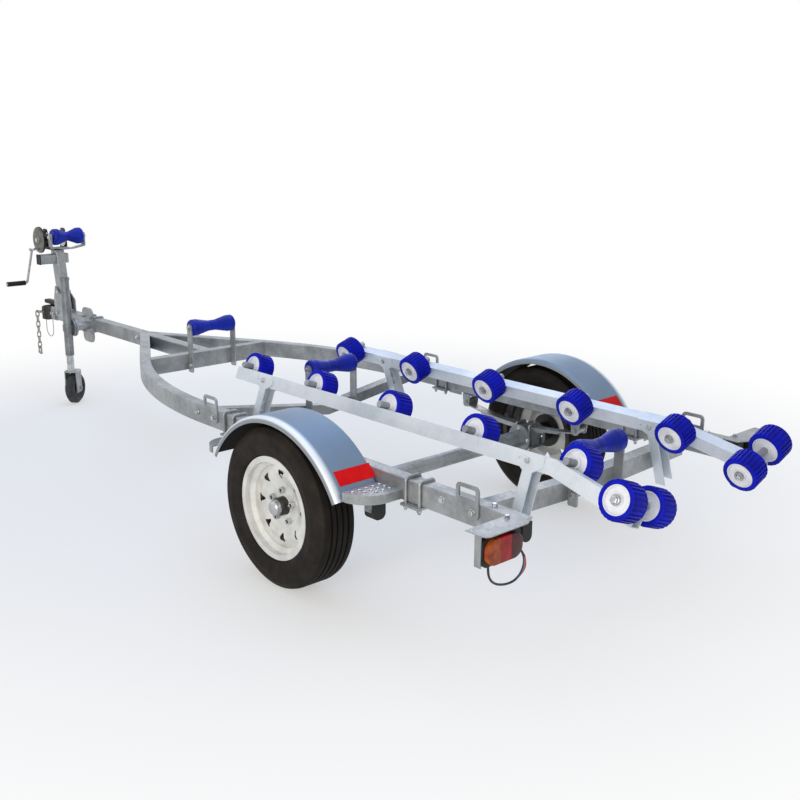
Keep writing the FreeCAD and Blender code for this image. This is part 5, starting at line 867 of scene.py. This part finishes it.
# Mudguards: a red reflecting band across each crown, near its rear end
redBand = {"radius": 0.4004, "thick": 0.0008, "from": 45.8, "to": 53.2, "steps": 8, "inner": 590, "outer": 736}
look = redBand
crown = fromAxle(-30, 0, 212)
startAngle = math.radians(look["from"])
away = Vector((-math.sin(startAngle), 0, math.cos(startAngle)))
across = Vector((0, (look["inner"] + look["outer"]) / 2000, 0))
startClean()
bpy.ops.mesh.primitive_plane_add(size=1, location=crown + away * (look["radius"] + look["thick"] / 2) + across)
bpy.context.object.scale = (look["thick"], (look["outer"] - look["inner"]) / 1000, 1)
bpy.context.object.rotation_euler = (0, -startAngle - math.pi / 2, 0)
enterEdit()
bpy.ops.mesh.select_all(action="SELECT")
turn = math.radians(look["to"] - look["from"])
bpy.ops.mesh.spin(steps=look["steps"], angle=turn, center=crown, axis=outLeft)
bandLeft = leaveEdit(30, "reflectorBand_left")
for band in (bandLeft, mirrorTo(bandLeft, "reflectorBand_right")):
    keepPiece(band, "frame", redReflector)

# Step plates: pressed studs that keep a boot from slipping
stepStud = {"radius": 0.0065, "high": 0.003, "sunk": 0.0005, "border": 0.0022, "rise": 0.0012, "apart": 28}
startRound(16, stepStud["radius"], stepStud["high"], -stepStud["sunk"])
pickSide(up)
pressIn(stepStud["border"], stepStud["rise"])
studMaster = leaveEdit(40)
studSpots = []
for row, forward in enumerate((-396, -420, -444)):
    studSpots += [(fromAxle(forward, 612 + stepStud["apart"] * column, 444), up, 1.0) for column in range(5 - row)]
fitAll("stepStuds", bothSides(studSpots), studMaster)
discard(studMaster)

# Tie-down loops: a pressed plate with an oblong window above the rail and a tapered foot bolted to its face
tieLoop = {
    "wide": 0.092, "thick": 0.006, "high": 0.054, "corner": 0.017, "cornerSteps": 6, "window": 0.0125,
    "footThick": 0.0056, "footHigh": 0.052, "footUp": 0.002, "footNarrow": 0.46, "footRound": 0.018, "footSteps": 5,
}
look = tieLoop
startBox((look["wide"], look["thick"], look["high"]), (0, 0, look["high"] / 2), "EDGE")
pickEdges(lambda a, b: abs(a.y - b.y) > 0.003 and min(a.z, b.z) > 0.03)
bpy.ops.mesh.bevel(offset=look["corner"], segments=look["cornerSteps"])
pickFaces(lambda middle, normal: abs(normal.y) > 0.9)
pressIn(look["window"])
bpy.ops.mesh.bridge_edge_loops()
ring = leaveEdit(30)
startBox((look["wide"], look["footThick"], look["footHigh"]), (0, 0, look["footUp"] - look["footHigh"] / 2))
pickSide(down)
bpy.ops.transform.resize(value=(look["footNarrow"], 1, 1), center_override=(-look["wide"] / 2, 0, 0))
pickEdges(lambda a, b: abs(a.y - b.y) > 0.003 and max(a.z, b.z) < -0.03)
bpy.ops.mesh.bevel(offset=look["footRound"], segments=look["footSteps"])
tieMaster = joinAll([ring, leaveEdit(30)], "tieMaster")
loops = []
for spot in loopSpots:
    loops.append(copyTo(tieMaster, f"tieLoopLeft_{spot}", Matrix.Translation(fromAxle(spot, 591.1, 480.5))))
    loops.append(mirrorTo(loops[-1], f"tieLoopRight_{spot}"))
keepPiece(joinAll(loops, "tieLoops"), "frame", finishes["galvanised"], ("tie_down_loops",))
discard(tieMaster)

# Bunk ends: a pressed plate closes each bunk's front end
bunkEnd = {"size": (0.003, 0.0345, 0.0445), "border": 0.0025, "rise": 0.0004}
startBox(bunkEnd["size"])
pickSide(ahead)
pressIn(bunkEnd["border"], bunkEnd["rise"], ahead)
endMaster = leaveEdit()
endPlace = Matrix.Translation(onBunk(803.2, -20.5, -25.5)) @ Matrix.Rotation(bunkEdge["lean"], 4, "X")
endLeft = copyTo(endMaster, "bunkEnd_left", endPlace)
for end in (endLeft, mirrorTo(endLeft, "bunkEnd_right")):
    keepPiece(end, "frame", finishes["bunk_galvanised"])
discard(endMaster)
print("guards, steps and bunk ends are trimmed")

# Chain: a bow shackle with its pin hangs from the last link
shackle = {
    "bow": 0.0185, "wire": 0.0050, "narrow": 0.9, "tall": 1.15, "top": 231.2,
    "pinRadius": 0.0052, "pinLong": 0.044, "pinBelow": 0.0165, "pinBorder": 0.0012,
}
look = shackle
bowCentre = fromAxle(3345, 76, look["top"] - 1000 * look["bow"] * look["tall"])
startClean()
bpy.ops.mesh.primitive_torus_add(
    major_radius=look["bow"], minor_radius=look["wire"], major_segments=40, minor_segments=12,
    location=bowCentre, rotation=(math.radians(90), 0, 0),
)
enterEdit()
bpy.ops.mesh.select_all(action="SELECT")
bpy.ops.transform.resize(value=(look["narrow"], 1, look["tall"]), center_override=bowCentre)
bow = leaveEdit(60)
startClean()
bpy.ops.mesh.primitive_cylinder_add(
    vertices=16, radius=look["pinRadius"], depth=look["pinLong"],
    location=bowCentre - Vector((0, 0, look["pinBelow"])), rotation=(0, math.radians(90), 0),
)
enterEdit()
pickFaces(lambda middle, normal: abs(normal.x) > 0.9)
pressIn(look["pinBorder"])
keepPiece(joinAll([bow, leaveEdit(30)], "chainShackle"), "frame", finishes["chain_steel"])

# Coupling: the safety pin's wire bail hangs under the head, as a leg, a half turn and a longer leg back up
wireBail = {"wire": 0.0024, "half": 0.046, "leg": 0.052, "longLeg": 0.080, "steps": 18}
look = wireBail
bailTop = fromAxle(3296, 44.6, 404)
startClean()
bpy.ops.mesh.primitive_circle_add(
    vertices=12, radius=look["wire"], fill_type="NGON", location=bailTop, rotation=(0, math.pi, 0),
)
enterEdit()
bpy.ops.mesh.select_all(action="SELECT")
pushFaces(-look["leg"])
turnCentre = bailTop - Vector((look["half"], 0, look["leg"]))
bpy.ops.mesh.spin(steps=look["steps"], angle=-math.pi, center=turnCentre, axis=outLeft)
pushFaces(look["longLeg"])
bpy.ops.mesh.select_all(action="SELECT")
bpy.ops.mesh.remove_doubles(threshold=1e-5)
bail = leaveEdit(60, "pinBail")
keepPiece(bail, "frame", finishes["chain_steel"])

# Winch: a pressed face on the gear cover, each pressing a border and a rise, with a nut on its shaft
winchFace = {
    "radius": 0.0745, "thick": 0.0016,
    "pressings": ((0.006, 0.0016), (0.016, 0.0), (0.006, -0.0022), (0.026, 0.0), (0.004, 0.0028)),
}
startRound(64, winchFace["radius"], winchFace["thick"])
pickSide(up)
for border, rise in winchFace["pressings"]:
    pressIn(border, rise)
faceMaster = leaveEdit(20)
face = copyTo(faceMaster, "winchCoverFace", facing(fromAxle(3194, 97.1, 890), outLeft))
keepPiece(face, "frame", wornGearCover)
discard(faceMaster)

tubeCap = {"size": (0.048, 0.006, 0.058), "border": 0.005, "sunk": 0.0018}
startBox(tubeCap["size"], fromAxle(3160, 121, 780))
pickSide(outLeft)
pressIn(tubeCap["border"], -tubeCap["sunk"], outLeft)
cap = leaveEdit(name="crossTubeCap")
keepPiece(cap, "frame", finishes["black_plastic"])

fitAll("winchNuts", [
    (fromAxle(3194, 99.5, 890), outLeft, 1.7),
    (fromAxle(3166, 56.2, 925), outLeft, 0.9), (fromAxle(3222, 56.2, 925), outLeft, 0.9),
    (fromAxle(3170, -56.2, 880), outRight, 0.9), (fromAxle(3218, -56.2, 880), outRight, 0.9),
    (fromAxle(3194, -60.5, 890), outRight, 1.3),
])
fitAll("crankNut", [(fromAxle(3196, 148.2, 838), outLeft, 1.0)], body="winch_crank")
fitAll("bowPinNuts", bothSides([(fromAxle(3030, 103.4, 918), outLeft, 1.2)]))
discard(boltMaster, nutMaster)
print("winch and chain are trimmed")
